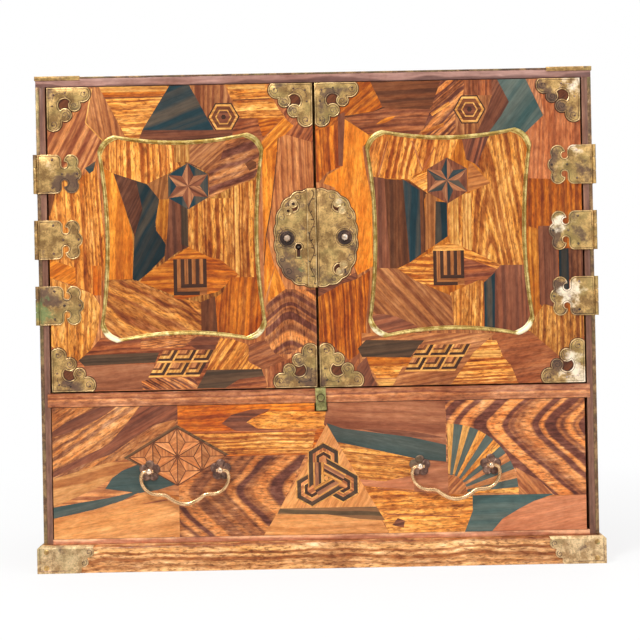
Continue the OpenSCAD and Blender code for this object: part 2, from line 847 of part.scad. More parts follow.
// Nails of a door corner mount, as shares of its leg
corner_nails = [[0.12, 0.42], [0.42, 0.12], [0.12, 0.86], [0.86, 0.12], [0.16, 0.16]];

module door_nails(s) {
    color(dark_brass) {
        at_door_corners(s) for (n = corner_nails)
            nail_head(n[0] * corner_leg, n[1] * corner_leg, plate_front, mount_nail_r, nail_h);
        for (z = hinge_zs, n = front_leaf_nails)
            nail_head(s * (axis_x - n[0] * front_leaf_l), z + n[1] * hinge_h,
                      door_face - leaf_t, nail_r, nail_h);
    }
}

// Lock

// The lock plate's outline: a squared oval with scallops all round
function lock_outline() = let (n = scallops * 6) [for (i = [0:n - 1])
    let (
        t = 360 * i / n,
        edge = scallop_d * (abs(sin(t * scallops / 2)) - 1),
        c = cos(t),
        s = sin(t),
        reach = pow(pow(abs(c), 2.5) + pow(abs(s), 2.5), -1 / 2.5)
    )
    [(lock_plate_w / 2 + edge) * reach * c, (lock_plate_h / 2 + edge) * reach * s]];

// The pierced curl beside each pair of volutes, in one quarter of the plate
module lock_piercing() {
    x = lock_plate_w * 0.27;
    z = lock_plate_h * 0.32;
    r = lock_plate_w * 0.062;
    difference() {
        translate([x, z]) circle(r);
        translate([x + r * 0.75, z + r * 1.3]) circle(r);
        translate([x + r * 1.45, z + r * 0.1]) circle(r);
    }
}

module lock_plate(s) {
    edge = door_free_x(s);
    color(aged_brass) difference() {
        upright(plate_front, door_face) intersection() {
            translate([seam_x, lock_z]) difference() {
                polygon(lock_outline());
                lock_piercing();
                mirror([1, 0]) lock_piercing();
                mirror([0, 1]) lock_piercing();
            }
            translate([s == left ? edge - lock_plate_w : edge, lock_z - lock_plate_h])
                square([lock_plate_w, 2 * lock_plate_h]);
        }
        if (s == left) key_passage(plate_front - over, door_face + over);
    }
}

// The strip lies on the left door's plate and covers most of the gap between the doors
module astragal_strip() {
    x1 = door_free_x(right) - astragal_gap;
    x0 = x1 - astragal_w;
    chamfer = astragal_h * 0.4;
    y0 = plate_front - astragal_h;
    color(aged_brass) translate([0, 0, lock_z - lock_plate_h / 2]) linear_extrude(lock_plate_h)
        polygon([
            [x0, plate_front], [x0, y0 + chamfer], [x0 + chamfer, y0],
            [x1 - chamfer, y0], [x1, y0 + chamfer], [x1, plate_front]
        ]);
}

// A round pull: a ringed boss with a bright dome in its middle
module door_pull(s) {
    color(dark_brass) translate([seam_x + s * pull_x, plate_front, lock_z]) rotate([90, 0, 0])
        rotate_extrude() polygon([
            [0, 0], [pull_r, 0], [pull_r, pull_h * 0.2], [pull_r * 0.86, pull_h * 0.36],
            [pull_r * 0.68, pull_h * 0.3], [pull_r * 0.55, pull_h * 0.5], [pull_r * 0.42, pull_h * 0.5],
            [pull_r * 0.38, pull_h * 0.8], [pull_r * 0.2, pull_h * 0.96], [0, pull_h]
        ]);
}

// The lock's closed case, let into the back of the left door, with the post that guides the key
module lock_case() {
    x1 = lock_left_edge;
    x0 = x1 - lock_w;
    y0 = door_back - lock_t;
    inner_y0 = y0 + lock_wall;
    inner_y1 = door_back - lock_wall;
    post_x = seam_x - key_x;
    color(aged_brass) {
        difference() {
            block([x0, y0, lock_case_z0], [x1, door_back, lock_case_z0 + lock_h]);
            block([x0 + lock_wall, inner_y0, lock_case_z0 + lock_wall],
                  [x1 - lock_wall, inner_y1, lock_case_z0 + lock_h - lock_wall]);
            bolt_shape(x1 - lock_wall - over, x1 + over, pocket_play);
            key_passage(y0 - over, inner_y0 + eps);
        }
        peg(post_x, key_z, door_face - plate_t / 2, inner_y1 + eps, key_post_r);
    }
}

// The bolt from x0 to x1, with some play round it
module bolt_shape(x0, x1, play) {
    half_t = bolt_t / 2 + play;
    half_h = bolt_h / 2 + play;
    block([x0, bolt_y - half_t, bolt_z - half_h], [x1, bolt_y + half_t, bolt_z + half_h]);
}

module lock_bolt() {
    color(dark_brass) bolt_shape(lock_left_edge - lock_w + lock_wall + bolt_rear_gap, lock_left_edge, 0);
}

// The keeper's block, with some room behind it and towards the gap between the doors
module keeper_shape(room) {
    block([keeper_x - room * (door_bevel + 1), door_back - lock_t + lock_wall, bolt_z - bolt_h],
          [keeper_x + keeper_w, door_back + room, bolt_z + bolt_h]);
}

// The keeper: a block with a mouth that takes the thrown bolt
module lock_keeper() {
    color(aged_brass) difference() {
        keeper_shape(0);
        bolt_shape(keeper_x - over, keeper_x + keeper_mouth_d, keeper_play);
    }
}

// Turn button

// The button: a flat bar on its rivet whose upper end is bent out as a finger lip
module turn_button() {
    lip = button_up * 0.3;
    color(button_green) translate([button_x, 0, rivet_z]) rotate([0, -button_lean, 0]) difference() {
        translate([-button_w / 2, 0, 0]) rotate([90, 0, 90]) linear_extrude(button_w) polygon([
            [button_back, -button_low], [button_back, button_up - lip],
            [button_back - lip * 0.5, button_up], [button_front - lip * 0.5, button_up],
            [button_front, button_up - lip], [button_front, -button_low]
        ]);
        peg(0, 0, button_front - over, button_back + over, rivet_r + rivet_play);
    }
}

module turn_button_rivet() {
    head_r = rivet_r + rivet_head_out;
    head_y = button_front - rivet_gap;
    color(button_green) {
        peg(button_x, rivet_z, head_y, front_y + rivet_depth, rivet_r);
        peg(button_x, rivet_z, button_back + rivet_gap, front_y, head_r);
        peg(button_x, rivet_z, head_y - rivet_head_t, head_y, head_r);
    }
}

// Long drawer

function drawer_end_x(s) = s == left ? drawer_x0 : drawer_x1;

module drawer_front() {
    relief = button_w / 2 + button_relief;
    color(veneer_gold) difference() {
        block([drawer_x0, front_y, drawer_bottom_z], [drawer_x1, drawer_inner_y, drawer_top_z]);
        // Laps for the two sides
        for (s = [left, right]) {
            end = drawer_end_x(s);
            block([end + s * over, front_y + drawer_lap, drawer_bottom_z - over],
                  [end - s * drawer_side_t, drawer_inner_y + over, wall_top_z]);
        }
        // Groove for the drawer bottom
        block([drawer_x0 + drawer_side_t - drawer_groove_d, drawer_inner_y - drawer_groove_d, drawer_floor_z],
              [drawer_x1 - drawer_side_t + drawer_groove_d, drawer_inner_y + over,
               drawer_floor_z + drawer_bottom_t]);
        // Holes for the posts of the pulls
        at_posts() peg(0, 0, front_y - over, drawer_inner_y + over, post_stem_r + post_play);
        // Relief that lets the drawer slide out past the upright turn button
        block([button_x - relief, front_y - over, rivet_z - button_low - button_relief],
              [button_x + relief, drawer_inner_y + over, drawer_top_z + over]);
    }
}

module drawer_side(s) {
    end = drawer_end_x(s);
    inner = end - s * drawer_side_t;
    color(plain_wood) difference() {
        block([end, front_y + drawer_lap, drawer_bottom_z], [inner, drawer_back_y, wall_top_z]);
        block([inner + s * drawer_groove_d, front_y + drawer_lap - over, drawer_floor_z],
              [inner - s * over, drawer_back_y + over, drawer_floor_z + drawer_bottom_t]);
    }
}

module drawer_back() {
    color(plain_wood)
        block([drawer_x0 + drawer_side_t, drawer_back_y - drawer_back_t, drawer_floor_z + drawer_bottom_t],
              [drawer_x1 - drawer_side_t, drawer_back_y, wall_top_z]);
}

module drawer_bottom() {
    reach = drawer_side_t - drawer_groove_d;
    color(plain_wood)
        block([drawer_x0 + reach, drawer_inner_y - drawer_groove_d, drawer_floor_z],
              [drawer_x1 - reach, drawer_back_y, drawer_floor_z + drawer_bottom_t]);
}

// Places what belongs to a post at each of the four posts
module at_posts() {
    for (s = [left, right], e = [-1, 1])
        translate([s * bail_x + e * post_half, 0, post_z]) children();
}

module pull_rosettes() {
    color(dark_brass) at_posts() upright(front_y - rosette_t, front_y) difference() {
        union() {
            circle(petal_ring);
            for (i = [0:4]) rotate(90 + i * 72) translate([petal_ring, 0]) circle(petal_r);
        }
        circle(post_stem_r + post_play);
    }
}

// Profile of a post: its stem, then a rounded head that is flat at its tip
function post_profile() = let (stem_l = drawer_inner_y - post_y) concat(
    [[0, 0], [post_stem_r, 0]],
    [for (i = [0:6]) let (a = -50 + i * 20) post_head_r * [cos(a), sin(a)] + [0, stem_l]],
    [[0, stem_l + post_tip]]
);

module pull_posts() {
    color(dark_brass) at_posts() {
        difference() {
            translate([0, drawer_inner_y, 0]) rotate([90, 0, 0])
                rotate_extrude() polygon(post_profile());
            crosspin(-post_head_r - over, post_head_r + over, post_y, 0, post_bore_r);
        }
        peg(0, 0, drawer_inner_y, drawer_inner_y + clinch_t, post_stem_r * 2);
    }
}

// Bails

// Half of the bail's centre line, from its widest part to its middle:
// share of the half width, share of the drop
bail_half_line = [
    [0.970, -0.045], [1.000, -0.190], [0.975, -0.380], [0.895, -0.550], [0.780, -0.660],
    [0.660, -0.705], [0.530, -0.710], [0.430, -0.745], [0.330, -0.840], [0.220, -0.925],
    [0.110, -0.980], [0.000, -1.000]
];
bail_steps = 3;
bail_sides = 10;

// Whole centre line from the left end to the right end
bail_right_half = concat(
    [[bail_end_x, 0]],
    [for (p = bail_half_line) [p[0] * bail_half_w, p[1] * bail_drop]]
);
bail_line = concat(
    [for (p = bail_right_half) [-p[0], p[1]]],
    [for (i = [len(bail_right_half) - 2:-1:0]) bail_right_half[i]]
);

function spline_point(a, b, c, d, t) =
    (2 * b + (c - a) * t + (2 * a - 5 * b + 4 * c - d) * t * t + (3 * b - a - 3 * c + d) * t * t * t) / 2;
function line_at(line, i) = line[max(0, min(len(line) - 1, i))];
function smooth_line(line, steps) = [for (i = [0:(len(line) - 1) * steps])
    let (k = min(floor(i / steps), len(line) - 2), t = i / steps - k)
    spline_point(line_at(line, k - 1), line[k], line[k + 1], line_at(line, k + 2), t)];

// One ring of the rod round a point of the centre line
function bail_ring(line, i) = let (
        last = len(line) - 1,
        along = i == 0 || i == last ? [-1, 0] : line[i + 1] - line[i - 1],
        side = [-along[1], along[0]] / norm(along),
        share = min(1, abs(line[i][0]) / bail_end_x),
        r = bail_mid_r + (bail_end_r + bail_shoulder - bail_mid_r) * share * share,
        p = line[i]
    )
    [for (j = [0:bail_sides - 1]) let (a = 360 * (j + 0.5) / bail_sides)
        [p[0] + side[0] * r * cos(a), r * sin(a), p[1] + side[1] * r * cos(a)]];

module bail_rod() {
    line = smooth_line(bail_line, bail_steps);
    n = len(line);
    points = [for (i = [0:n - 1]) each bail_ring(line, i)];
    walls = [for (i = [0:n - 2], j = [0:bail_sides - 1]) let (
            k = (j + 1) % bail_sides,
            a = i * bail_sides + j,
            b = i * bail_sides + k
        ) each [[a, b, b + bail_sides], [a, b + bail_sides, a + bail_sides]]];
    first_end = [for (j = [1:bail_sides - 2]) [0, j + 1, j]];
    base = (n - 1) * bail_sides;
    last_end = [for (j = [1:bail_sides - 2]) [base, base + j, base + j + 1]];
    polyhedron(points, concat(walls, first_end, last_end));
}

module bail(s) {
    color(bail_copper) translate([s * bail_x, post_y, post_z]) {
        bail_rod();
        for (e = [0, 1]) mirror([e, 0, 0])
            crosspin(bail_stub_x, bail_end_x + bail_end_r / 2, 0, 0, bail_end_r);
    }
}

// Inner drawers

module nest_sides() {
    color(plain_wood) for (s = [left, right])
        block([s * inside_x, nest_y, shelf_top], [s * nest_x, nest_back_y, top_z0]);
}

// The board between the columns; its front edge is the stop that the doors close against
module inner_divider() {
    color(plain_wood)
        block([-divider_t / 2, door_back + stop_gap, shelf_top], [divider_t / 2, nest_back_y, top_z0]);
}

module inner_shelves() {
    color(plain_wood) for (s = [left, right], i = [1:inner_rows - 1]) {
        z = shelf_top + i * row_h + (i - 1) * inner_shelf_t;
        block([s * divider_t / 2, nest_y, z], [s * nest_x, nest_back_y, z + inner_shelf_t]);
    }
}

function inner_z0(row) = shelf_top + row * (row_h + inner_shelf_t) + drawer_gap_bottom;
function inner_x0(s) = s == left ? -nest_x + inner_gap : divider_t / 2 + inner_gap;

// An inner drawer: front, two sides, back and bottom
module inner_drawer(s, row) {
    x0 = inner_x0(s);
    z0 = inner_z0(row);
    side_h = inner_h - inner_wall_drop;
    y_in = nest_y + inner_front_t;
    y_end = nest_y + inner_d;
    color(veneer_salmon) block([x0, nest_y, z0], [x0 + inner_w, y_in, z0 + inner_h]);
    color(plain_wood) {
        for (x = [x0, x0 + inner_w - inner_wall_t])
            block([x, y_in, z0], [x + inner_wall_t, y_end, z0 + side_h]);
        block([x0 + inner_wall_t, y_end - inner_wall_t, z0],
              [x0 + inner_w - inner_wall_t, y_end, z0 + side_h]);
        block([x0 + inner_wall_t, y_in, z0],
              [x0 + inner_w - inner_wall_t, y_end - inner_wall_t, z0 + inner_bottom_t]);
    }
}

module inner_knob(s, row) {
    color(dark_brass) translate([inner_x0(s) + inner_w / 2, nest_y, inner_z0(row) + inner_h / 2])
        rotate([90, 0, 0]) rotate_extrude() polygon([
            [0, 0], [knob_r * 0.55, 0], [knob_r * 0.4, knob_h * 0.35], [knob_r * 0.9, knob_h * 0.55],
            [knob_r, knob_h * 0.75], [knob_r * 0.75, knob_h * 0.95], [0, knob_h]
        ]);
}

case_top();
case_bottom();
case_side(left);  // case_side_left
case_side(right);  // case_side_right
case_back();
shelf_rail();
shelf_board();
plinth_front();
plinth_back();
plinth_side(left);  // plinth_left
plinth_side(right);  // plinth_right
plinth_corner_mounts();
corner_straps();
edge_strips();
hinge_case_leaves();
hinge_pins();
case_nails();
turn_button_rivet();
nest_sides();
inner_divider();
inner_shelves();
door_board(left);  // left_door_board
door_panel(left);  // left_door_panel
door_bead(left);  // left_door_bead
door_corner_mounts(left);  // left_door_corner_mounts
hinge_leaves(left);  // left_hinge_leaves
lock_plate(left);  // left_lock_plate
astragal_strip();
door_pull(left);  // left_door_pull
door_nails(left);  // left_door_nails
lock_case();
lock_bolt();
door_board(right);  // right_door_board
door_panel(right);  // right_door_panel
door_bead(right);  // right_door_bead
door_corner_mounts(right);  // right_door_corner_mounts
hinge_leaves(right);  // right_hinge_leaves
lock_plate(right);  // right_lock_plate
door_pull(right);  // right_door_pull
door_nails(right);  // right_door_nails
lock_keeper();
turn_button();
drawer_front();
drawer_side(left);  // drawer_side_left
drawer_side(right);  // drawer_side_right
drawer_back();
drawer_bottom();
pull_rosettes();
pull_posts();
bail(left);  // bail_left
bail(right);  // bail_right
inner_drawer(left, 0);  // inner_drawer_lower_left
inner_drawer(left, 1);  // inner_drawer_upper_left
inner_drawer(right, 0);  // inner_drawer_lower_right
inner_drawer(right, 1);  // inner_drawer_upper_right
inner_knob(left, 0);  // inner_knob_lower_left
inner_knob(left, 1);  // inner_knob_upper_left
inner_knob(right, 0);  // inner_knob_lower_right
inner_knob(right, 1);  // inner_knob_upper_right
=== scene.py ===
"""Looks of the tabletop tansu cabinet: marquetry, lacquered woods, aged brasswork and a plain studio.

Sizes are millimetres in the cabinet's own frame, with X to the right, Z up and the front to -Y. MM turns
them into metres.
"""

import json
import logging
import math
import random
from collections.abc import Callable, Iterable, Mapping, Sequence
from dataclasses import dataclass, replace
from enum import Enum
from functools import cache
from typing import Any

import bmesh
import bpy
from mathutils import Matrix, Vector
from mathutils.geometry import delaunay_2d_cdt

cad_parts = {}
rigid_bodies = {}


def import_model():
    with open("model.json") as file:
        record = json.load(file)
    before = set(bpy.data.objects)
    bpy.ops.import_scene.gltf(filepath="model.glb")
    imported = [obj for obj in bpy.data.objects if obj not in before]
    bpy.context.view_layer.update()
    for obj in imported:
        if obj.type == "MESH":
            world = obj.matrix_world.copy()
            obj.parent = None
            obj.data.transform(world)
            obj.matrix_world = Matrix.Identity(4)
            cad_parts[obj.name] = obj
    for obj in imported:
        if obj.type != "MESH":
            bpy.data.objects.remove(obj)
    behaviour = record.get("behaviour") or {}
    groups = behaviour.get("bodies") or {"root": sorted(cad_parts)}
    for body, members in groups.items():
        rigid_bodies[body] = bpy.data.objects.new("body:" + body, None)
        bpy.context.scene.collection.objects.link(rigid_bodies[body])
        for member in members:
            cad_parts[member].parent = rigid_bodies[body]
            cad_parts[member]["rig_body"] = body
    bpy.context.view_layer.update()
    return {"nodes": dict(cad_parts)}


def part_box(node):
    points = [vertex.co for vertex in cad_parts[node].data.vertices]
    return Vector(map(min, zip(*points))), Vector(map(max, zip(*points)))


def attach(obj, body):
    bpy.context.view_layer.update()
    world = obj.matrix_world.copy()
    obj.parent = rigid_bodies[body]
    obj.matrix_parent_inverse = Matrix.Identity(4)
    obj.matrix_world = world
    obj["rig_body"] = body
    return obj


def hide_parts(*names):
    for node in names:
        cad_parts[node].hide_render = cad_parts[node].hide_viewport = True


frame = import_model()
MM = 0.001
SEED = 1887
# Distances in metres within which points are merged, in a node's copy and in a new shape
WELD = 1e-6
FINE_WELD = 1e-7
# Fold angles from which an edge is bevelled, and is shaded sharp
SHARP_FOLD = math.radians(34)
SHARP_SHADE = math.radians(40)
# Colours of wood pores and of old grime
PORE = "#3A1C10"
GRIME = "#B99A86"
FRONT = Vector((0, -1, 0))

log = logging.getLogger("tansu")

Point = tuple[float, float]
Colour = tuple[float, float, float, float]
Socket = bpy.types.NodeSocket


class Side(Enum):
    """The two doors, and the two ends of what comes in pairs."""

    LEFT = -1
    RIGHT = 1

    @property
    def word(self) -> str:
        """Name of the side as the nodes write it."""
        return self.name.lower()


class Along(Enum):
    """The direction in which a board's grain runs."""

    X = 0
    Y = 1
    Z = 2


def colour(code: str) -> Colour:
    """Linear colour of a hex code.

    Args:
        code: Six hex digits after a hash mark.

    Returns:
        Red, green, blue and alpha for a node socket.
    """
    parts = [int(code[i:i + 2], 16) / 255 for i in (1, 3, 5)]
    linear = [c / 12.92 if c <= 0.04045 else ((c + 0.055) / 1.055) ** 2.4 for c in parts]
    return (*linear, 1.0)


def limits_mm(node: str) -> tuple[Vector, Vector]:
    """Lowest and highest corner of a node of the frame, in millimetres."""
    low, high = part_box(node)
    return low / MM, high / MM


# Trees of nodes


class Tree:
    """Adds and wires the nodes of one shader or geometry tree."""

    def __init__(self, tree: bpy.types.NodeTree) -> None:
        """Keeps the tree that the methods write to."""
        self.tree = tree

    def put(self, socket: Socket, value: Any) -> None:
        """Links a socket to another socket, or sets its value.

        Args:
            socket: Input to fill.
            value: Socket to link to it, or its value.
        """
        if isinstance(value, Socket):
            self.tree.links.new(value, socket)
        else:
            socket.default_value = value

    def add(self, kind: str, inputs: Mapping[Any, Any] | None = None, **settings: Any) -> bpy.types.Node:
        """Adds a node.

        Args:
            kind: Blender's type name of the node.
            inputs: Values or sockets for its inputs, by name or number.
            **settings: Properties to set before the inputs.

        Returns:
            The new node.
        """
        node = self.tree.nodes.new(kind)
        for name, value in settings.items():
            setattr(node, name, value)
        for name, value in (inputs or {}).items():
            self.put(node.inputs[name], value)
        return node

    def math(self, operation: str, *values: Any, clamp: bool = False) -> Socket:
        """Result of one Math node on up to three values."""
        node = self.add("ShaderNodeMath", dict(enumerate(values)), operation=operation, use_clamp=clamp)
        return node.outputs[0]

    def times(self, first: Any, second: Any, clamp: bool = False) -> Socket:
        """Product of two numbers or sockets."""
        return self.math("MULTIPLY", first, second, clamp=clamp)

    def scaled(self, value: Any, factor: Any, more: Any) -> Socket:
        """Value times a factor, plus more."""
        return self.math("MULTIPLY_ADD", value, factor, more)

    def mix(self, share: Any, first: Any, second: Any, blend: str = "MIX") -> Socket:
        """Colour mixed from two colours.

        Args:
            share: How much of the second colour there is.
            first: First colour.
            second: Second colour.
            blend: Way of mixing.

        Returns:
            The mixed colour.
        """
        node = self.add("ShaderNodeMix", data_type="RGBA", blend_type=blend)
        for slot, value in ((0, share), (6, first), (7, second)):
            self.put(node.inputs[slot], value)
        return node.outputs[2]

    def mask(self, value: Any, low: Any, high: Any, top: Any = 1.0) -> Socket:
        """Soft step from 0 below low to top above high.

        Args:
            value: Number to look at.
            low: Value where the mask is 0.
            high: Value where it reaches its top.
            top: Its largest value.

        Returns:
            The mask.
        """
        node = self.add("ShaderNodeMapRange", interpolation_type="SMOOTHSTEP")
        for name, number in (("Value", value), ("From Min", low), ("From Max", high), ("To Max", top)):
            self.put(node.inputs[name], number)
        return node.outputs[0]

    def noise(self, vector: Socket, scale: float, detail: float, roughness: float) -> Socket:
        """Value of a Noise texture on a vector, or on one number.

        Args:
            vector: Socket of a place, or of one number.
            scale: Scale of the noise.
            detail: Number of finer layers.
            roughness: Strength of the finer layers.

        Returns:
            The noise, from 0 to 1.
        """
        single = vector.type == "VALUE"
        inputs = {"W" if single else "Vector": vector, "Scale": scale, "Detail": detail,
                  "Roughness": roughness}
        return self.add("ShaderNodeTexNoise", inputs, noise_dimensions="1D" if single else "3D").outputs[0]

    def vector(self, x: Any, y: Any, z: Any) -> Socket:
        """Vector of three numbers or sockets."""
        return self.add("ShaderNodeCombineXYZ", {0: x, 1: y, 2: z}).outputs[0]

    def split(self, vector: Socket) -> Sequence[Socket]:
        """The three numbers of a vector."""
        return self.add("ShaderNodeSeparateXYZ", {0: vector}).outputs


SOCKETS = {"float": "NodeSocketFloat", "colour": "NodeSocketColor", "vector": "NodeSocketVector",
           "whole": "NodeSocketInt"}


class ShaderGroup:
    """A shader node group with named inputs and outputs, built once and used in many materials."""

    def __init__(self, name: str, inputs: Mapping[str, str], outputs: Mapping[str, str]) -> None:
        """Makes the group's empty tree.

        Args:
            name: Name of the group.
            inputs: Kind of each input, by name.
            outputs: Kind of each output, by name.
        """
        self.tree = bpy.data.node_groups.new(name, "ShaderNodeTree")
        for way, sockets in (("INPUT", inputs), ("OUTPUT", outputs)):
            for label, kind in sockets.items():
                self.tree.interface.new_socket(name=label, in_out=way, socket_type=SOCKETS[kind])
        self.nodes = Tree(self.tree)
        self.given = self.nodes.add("NodeGroupInput").outputs
        self.result = self.nodes.add("NodeGroupOutput").inputs

    def place(self, tree: Tree, inputs: Mapping[str, Any]) -> Mapping[str, Socket]:
        """Puts the group into a material's tree.

        Args:
            tree: The material's tree.
            inputs: Values or sockets for the group's inputs.

        Returns:
            The group's outputs by name.
        """
        node = tree.add("ShaderNodeGroup", node_tree=self.tree)
        for name, value in inputs.items():
            tree.put(node.inputs[name], value)
        return node.outputs


def sawn_wood_group() -> ShaderGroup:
    """Figure of sawn wood: bands, arches, fibres, flecks, slow changes of tone and painted highlights between
    the flecks.

    Returns:
        The group. Its Grain input is (along, across, seed) in metres.
    """
    group = ShaderGroup(
        "sawn_wood",
        {"Grain": "vector", "Light": "colour", "Dark": "colour", "Band": "float", "Contrast": "float",
         "Arch": "float", "Wave": "float", "Fleck": "float"},
        {"Color": "colour", "Roughness": "float", "Height": "float"},
    )
    t, given = group.nodes, group.given
    along, across, seed = t.split(given["Grain"])
    heart_radius = 0.005

    def grained(length: float, width: float, detail: float, roughness: float = 0.5) -> Socket:
        """Noise with its own scales along and across the grain."""
        place = t.vector(t.times(along, length), t.times(across, width), seed)
        return t.noise(place, 1, detail, roughness)

    shift = t.times(t.math("SUBTRACT", grained(22, 45, 2), 0.5), given["Wave"])
    blunt = t.math("SQRT", t.scaled(across, across, heart_radius ** 2))
    arched = t.scaled(along, given["Arch"], blunt)
    bowed = t.math("GREATER_THAN", t.math("ABSOLUTE", given["Arch"]), 0.01)
    ring = t.math("ADD", across, t.times(bowed, t.math("SUBTRACT", arched, across)))
    ring = t.math("DIVIDE", t.math("ADD", ring, shift), given["Band"])
    ring = t.scaled(seed, 7.3, ring)
    bands = t.mask(t.noise(ring, 1, 1, 0.5), 0.34, 0.66)
    lines = t.mask(t.noise(t.times(ring, 4.3), 1, 2, 0.7), 0.42, 0.7)
    fibre = grained(60, 900, 3, 0.65)
    speck = grained(230, 850, 2, 0.6)
    fleck = t.times(t.mask(speck, 0.52, 0.66), given["Fleck"])
    # Painted highlight: between the flecks the wood's colour is lightened into golden streaks, as if they
    # caught the light.
    painted_highlight = t.times(t.mask(speck, 0.46, 0.3), given["Fleck"])
    share = t.times(t.scaled(lines, 0.13, bands), given["Contrast"], clamp=True)
    tone = t.scaled(t.math("SUBTRACT", fibre, 0.5), 0.9, 1.0)
    tone = t.scaled(painted_highlight, 0.4, tone)
    cloud = t.math("SUBTRACT", t.math("ADD", grained(22, 60, 4, 0.6), grained(130, 380, 3, 0.65)), 1.0)
    lively = t.times(cloud, t.math("ADD", given["Fleck"], 0.15, clamp=True))
    depth = t.math("MAXIMUM", t.scaled(lively, -1.1, 1.0), 0.3)
    wood = t.mix(share, given["Light"], given["Dark"])
    pore = t.mix(0.45, given["Dark"], colour(PORE))
    wood = t.mix(t.times(fleck, 0.75, clamp=True), wood, pore)
    deep = t.add("ShaderNodeGamma", {"Color": wood, "Gamma": depth}).outputs[0]
    brightness = {0: deep, "Scale": t.scaled(lively, 1.0, tone)}
    toned = t.add("ShaderNodeVectorMath", brightness, operation="SCALE").outputs[0]
    rough = t.scaled(fleck, 0.2, t.scaled(fibre, 0.16, 0.34))
    relief = t.math("SUBTRACT", t.times(fibre, 0.3), t.scaled(fleck, 0.7, share))
    for name, value in (("Color", toned), ("Roughness", rough), ("Height", relief)):
        t.put(group.result[name], value)
    return group


def aged_metal_group() -> ShaderGroup:
    """Look of old brass: clean and dull metal, brown stains, pale worn spots, painted glints and green
    patina.

    Returns:
        The group. Its Wear input is (stained, worn, green) from 0 to 1; the worn amount also carries the
        painted glints.
    """
    group = ShaderGroup(
        "aged_metal",
        {"Place": "vector", "Wear": "vector", "Bright": "colour", "Dull": "colour", "Stain": "colour",
         "Worn": "colour", "Green": "colour", "Stains": "float", "Polish": "float"},
        {"Color": "colour", "Metallic": "float", "Roughness": "float", "Height": "float"},
    )
    t, given = group.nodes, group.given
    stained, worn, green = t.split(given["Wear"])
    grime = t.noise(given["Place"], 150, 6, 0.7)
    blotch = t.noise(given["Place"], 62, 4, 0.65)
    speck = t.noise(given["Place"], 900, 3, 0.6)
    metal = t.mix(t.mask(grime, 0.4, 0.62), given["Dull"], given["Bright"])
    metal = t.mix(t.mask(speck, 0.5, 0.72, 0.5), metal, given["Stain"])
    olive = t.mask(t.noise(given["Place"], 48, 3, 0.55), 0.46, 0.66, 0.4)
    metal = t.mix(olive, metal, t.mix(0.4, given["Green"], given["Bright"]))
    amount = t.math("ADD", given["Stains"], stained)
    stain = t.mask(t.scaled(amount, 0.42, blotch), 0.62, 0.76)
    metal = t.mix(t.times(stain, 0.85), metal, given["Stain"])
    # Pale rubbed brass, and painted glints where the spots stand for highlights.
    rubbed_and_glints = t.mask(t.scaled(worn, 0.6, grime), 0.72, 0.98)
    metal = t.mix(rubbed_and_glints, metal, given["Worn"])
    mossy = t.mask(t.scaled(green, 0.6, t.noise(given["Place"], 240, 4, 0.6)), 0.68, 0.92)
    metal = t.mix(t.times(mossy, 0.8), metal, given["Green"])
    covered = t.math("MAXIMUM", stain, t.math("MAXIMUM", mossy, rubbed_and_glints))
    sheen = t.scaled(speck, 0.2, given["Polish"])
    results = {"Color": metal, "Metallic": t.scaled(covered, -0.45, 0.8),
               "Roughness": t.scaled(covered, 0.2, sheen),
               "Height": t.scaled(covered, 0.6, t.math("ADD", grime, speck))}
    for name, value in results.items():
        t.put(group.result[name], value)
    return group


def handling_group() -> ShaderGroup:
    """What years of handling leave on lacquer: darker grime in broad patches and a hazy film.

    Returns:
        The group, with a tint to multiply the wood's colour by and a roughness to add.
    """
    group = ShaderGroup("handling", {"Place": "vector", "Grime": "float"},
                        {"Tint": "colour", "Haze": "float"})
    t, given = group.nodes, group.given
    broad = t.mask(t.noise(given["Place"], 17, 3, 0.55), 0.35, 0.7)
    fine = t.mask(t.noise(given["Place"], 130, 4, 0.6), 0.5, 0.8)
    share = t.times(given["Grime"], t.scaled(fine, 0.5, broad), clamp=True)
    t.put(group.result["Tint"], t.mix(share, (1, 1, 1, 1), colour(GRIME)))
    t.put(group.result["Haze"], t.times(share, 0.14))
    return group


SAWN_WOOD = sawn_wood_group()
AGED_METAL = aged_metal_group()
HANDLING = handling_group()


# Finishes


def new_material(name: str) -> tuple[bpy.types.Material, Tree, Mapping[str, Socket]]:
    """Makes a material with an unwired Principled shader.

    Args:
        name: Name of the material.

    Returns:
        The material, its tree and the shader's inputs.
    """
    material = bpy.data.materials.new("dressed_" + name)
    material.use_nodes = True
    shader = material.node_tree.nodes["Principled BSDF"]
    return material, Tree(material.node_tree), shader.inputs


def bump(tree: Tree, height: Socket, depth_mm: float) -> Socket:
    """Normal of a surface with that height, whose full range is depth_mm deep."""
    node = tree.add("ShaderNodeBump", {"Height": height, "Strength": 1.0, "Distance": depth_mm * MM})
    return node.outputs["Normal"]


def dress_wood(tree: Tree, shader: Mapping[str, Socket], figure: Mapping[str, Any], place: Socket,
               gloss: float, grime: float) -> None:
    """Wires the sawn wood and the handling group to a lacquered shader.

    Args:
        tree: The material's tree.
        shader: Inputs of the Principled shader.
        figure: Inputs of the sawn wood group.
        place: Coordinates for the grime.
        gloss: Weight of the lacquer coat.
        grime: How much handling shows.
    """
    wood = SAWN_WOOD.place(tree, figure)
    film = HANDLING.place(tree, {"Place": place, "Grime": grime})
    tree.put(shader["Base Color"], tree.mix(1.0, wood["Color"], film["Tint"], "MULTIPLY"))
    tree.put(shader["Roughness"], tree.math("ADD", wood["Roughness"], film["Haze"]))
    tree.put(shader["Normal"], bump(tree, wood["Height"], 0.05))
    shader["Specular IOR Level"].default_value = 0.22
    shader["Coat Weight"].default_value = gloss
    shader["Coat Roughness"].default_value = 0.16


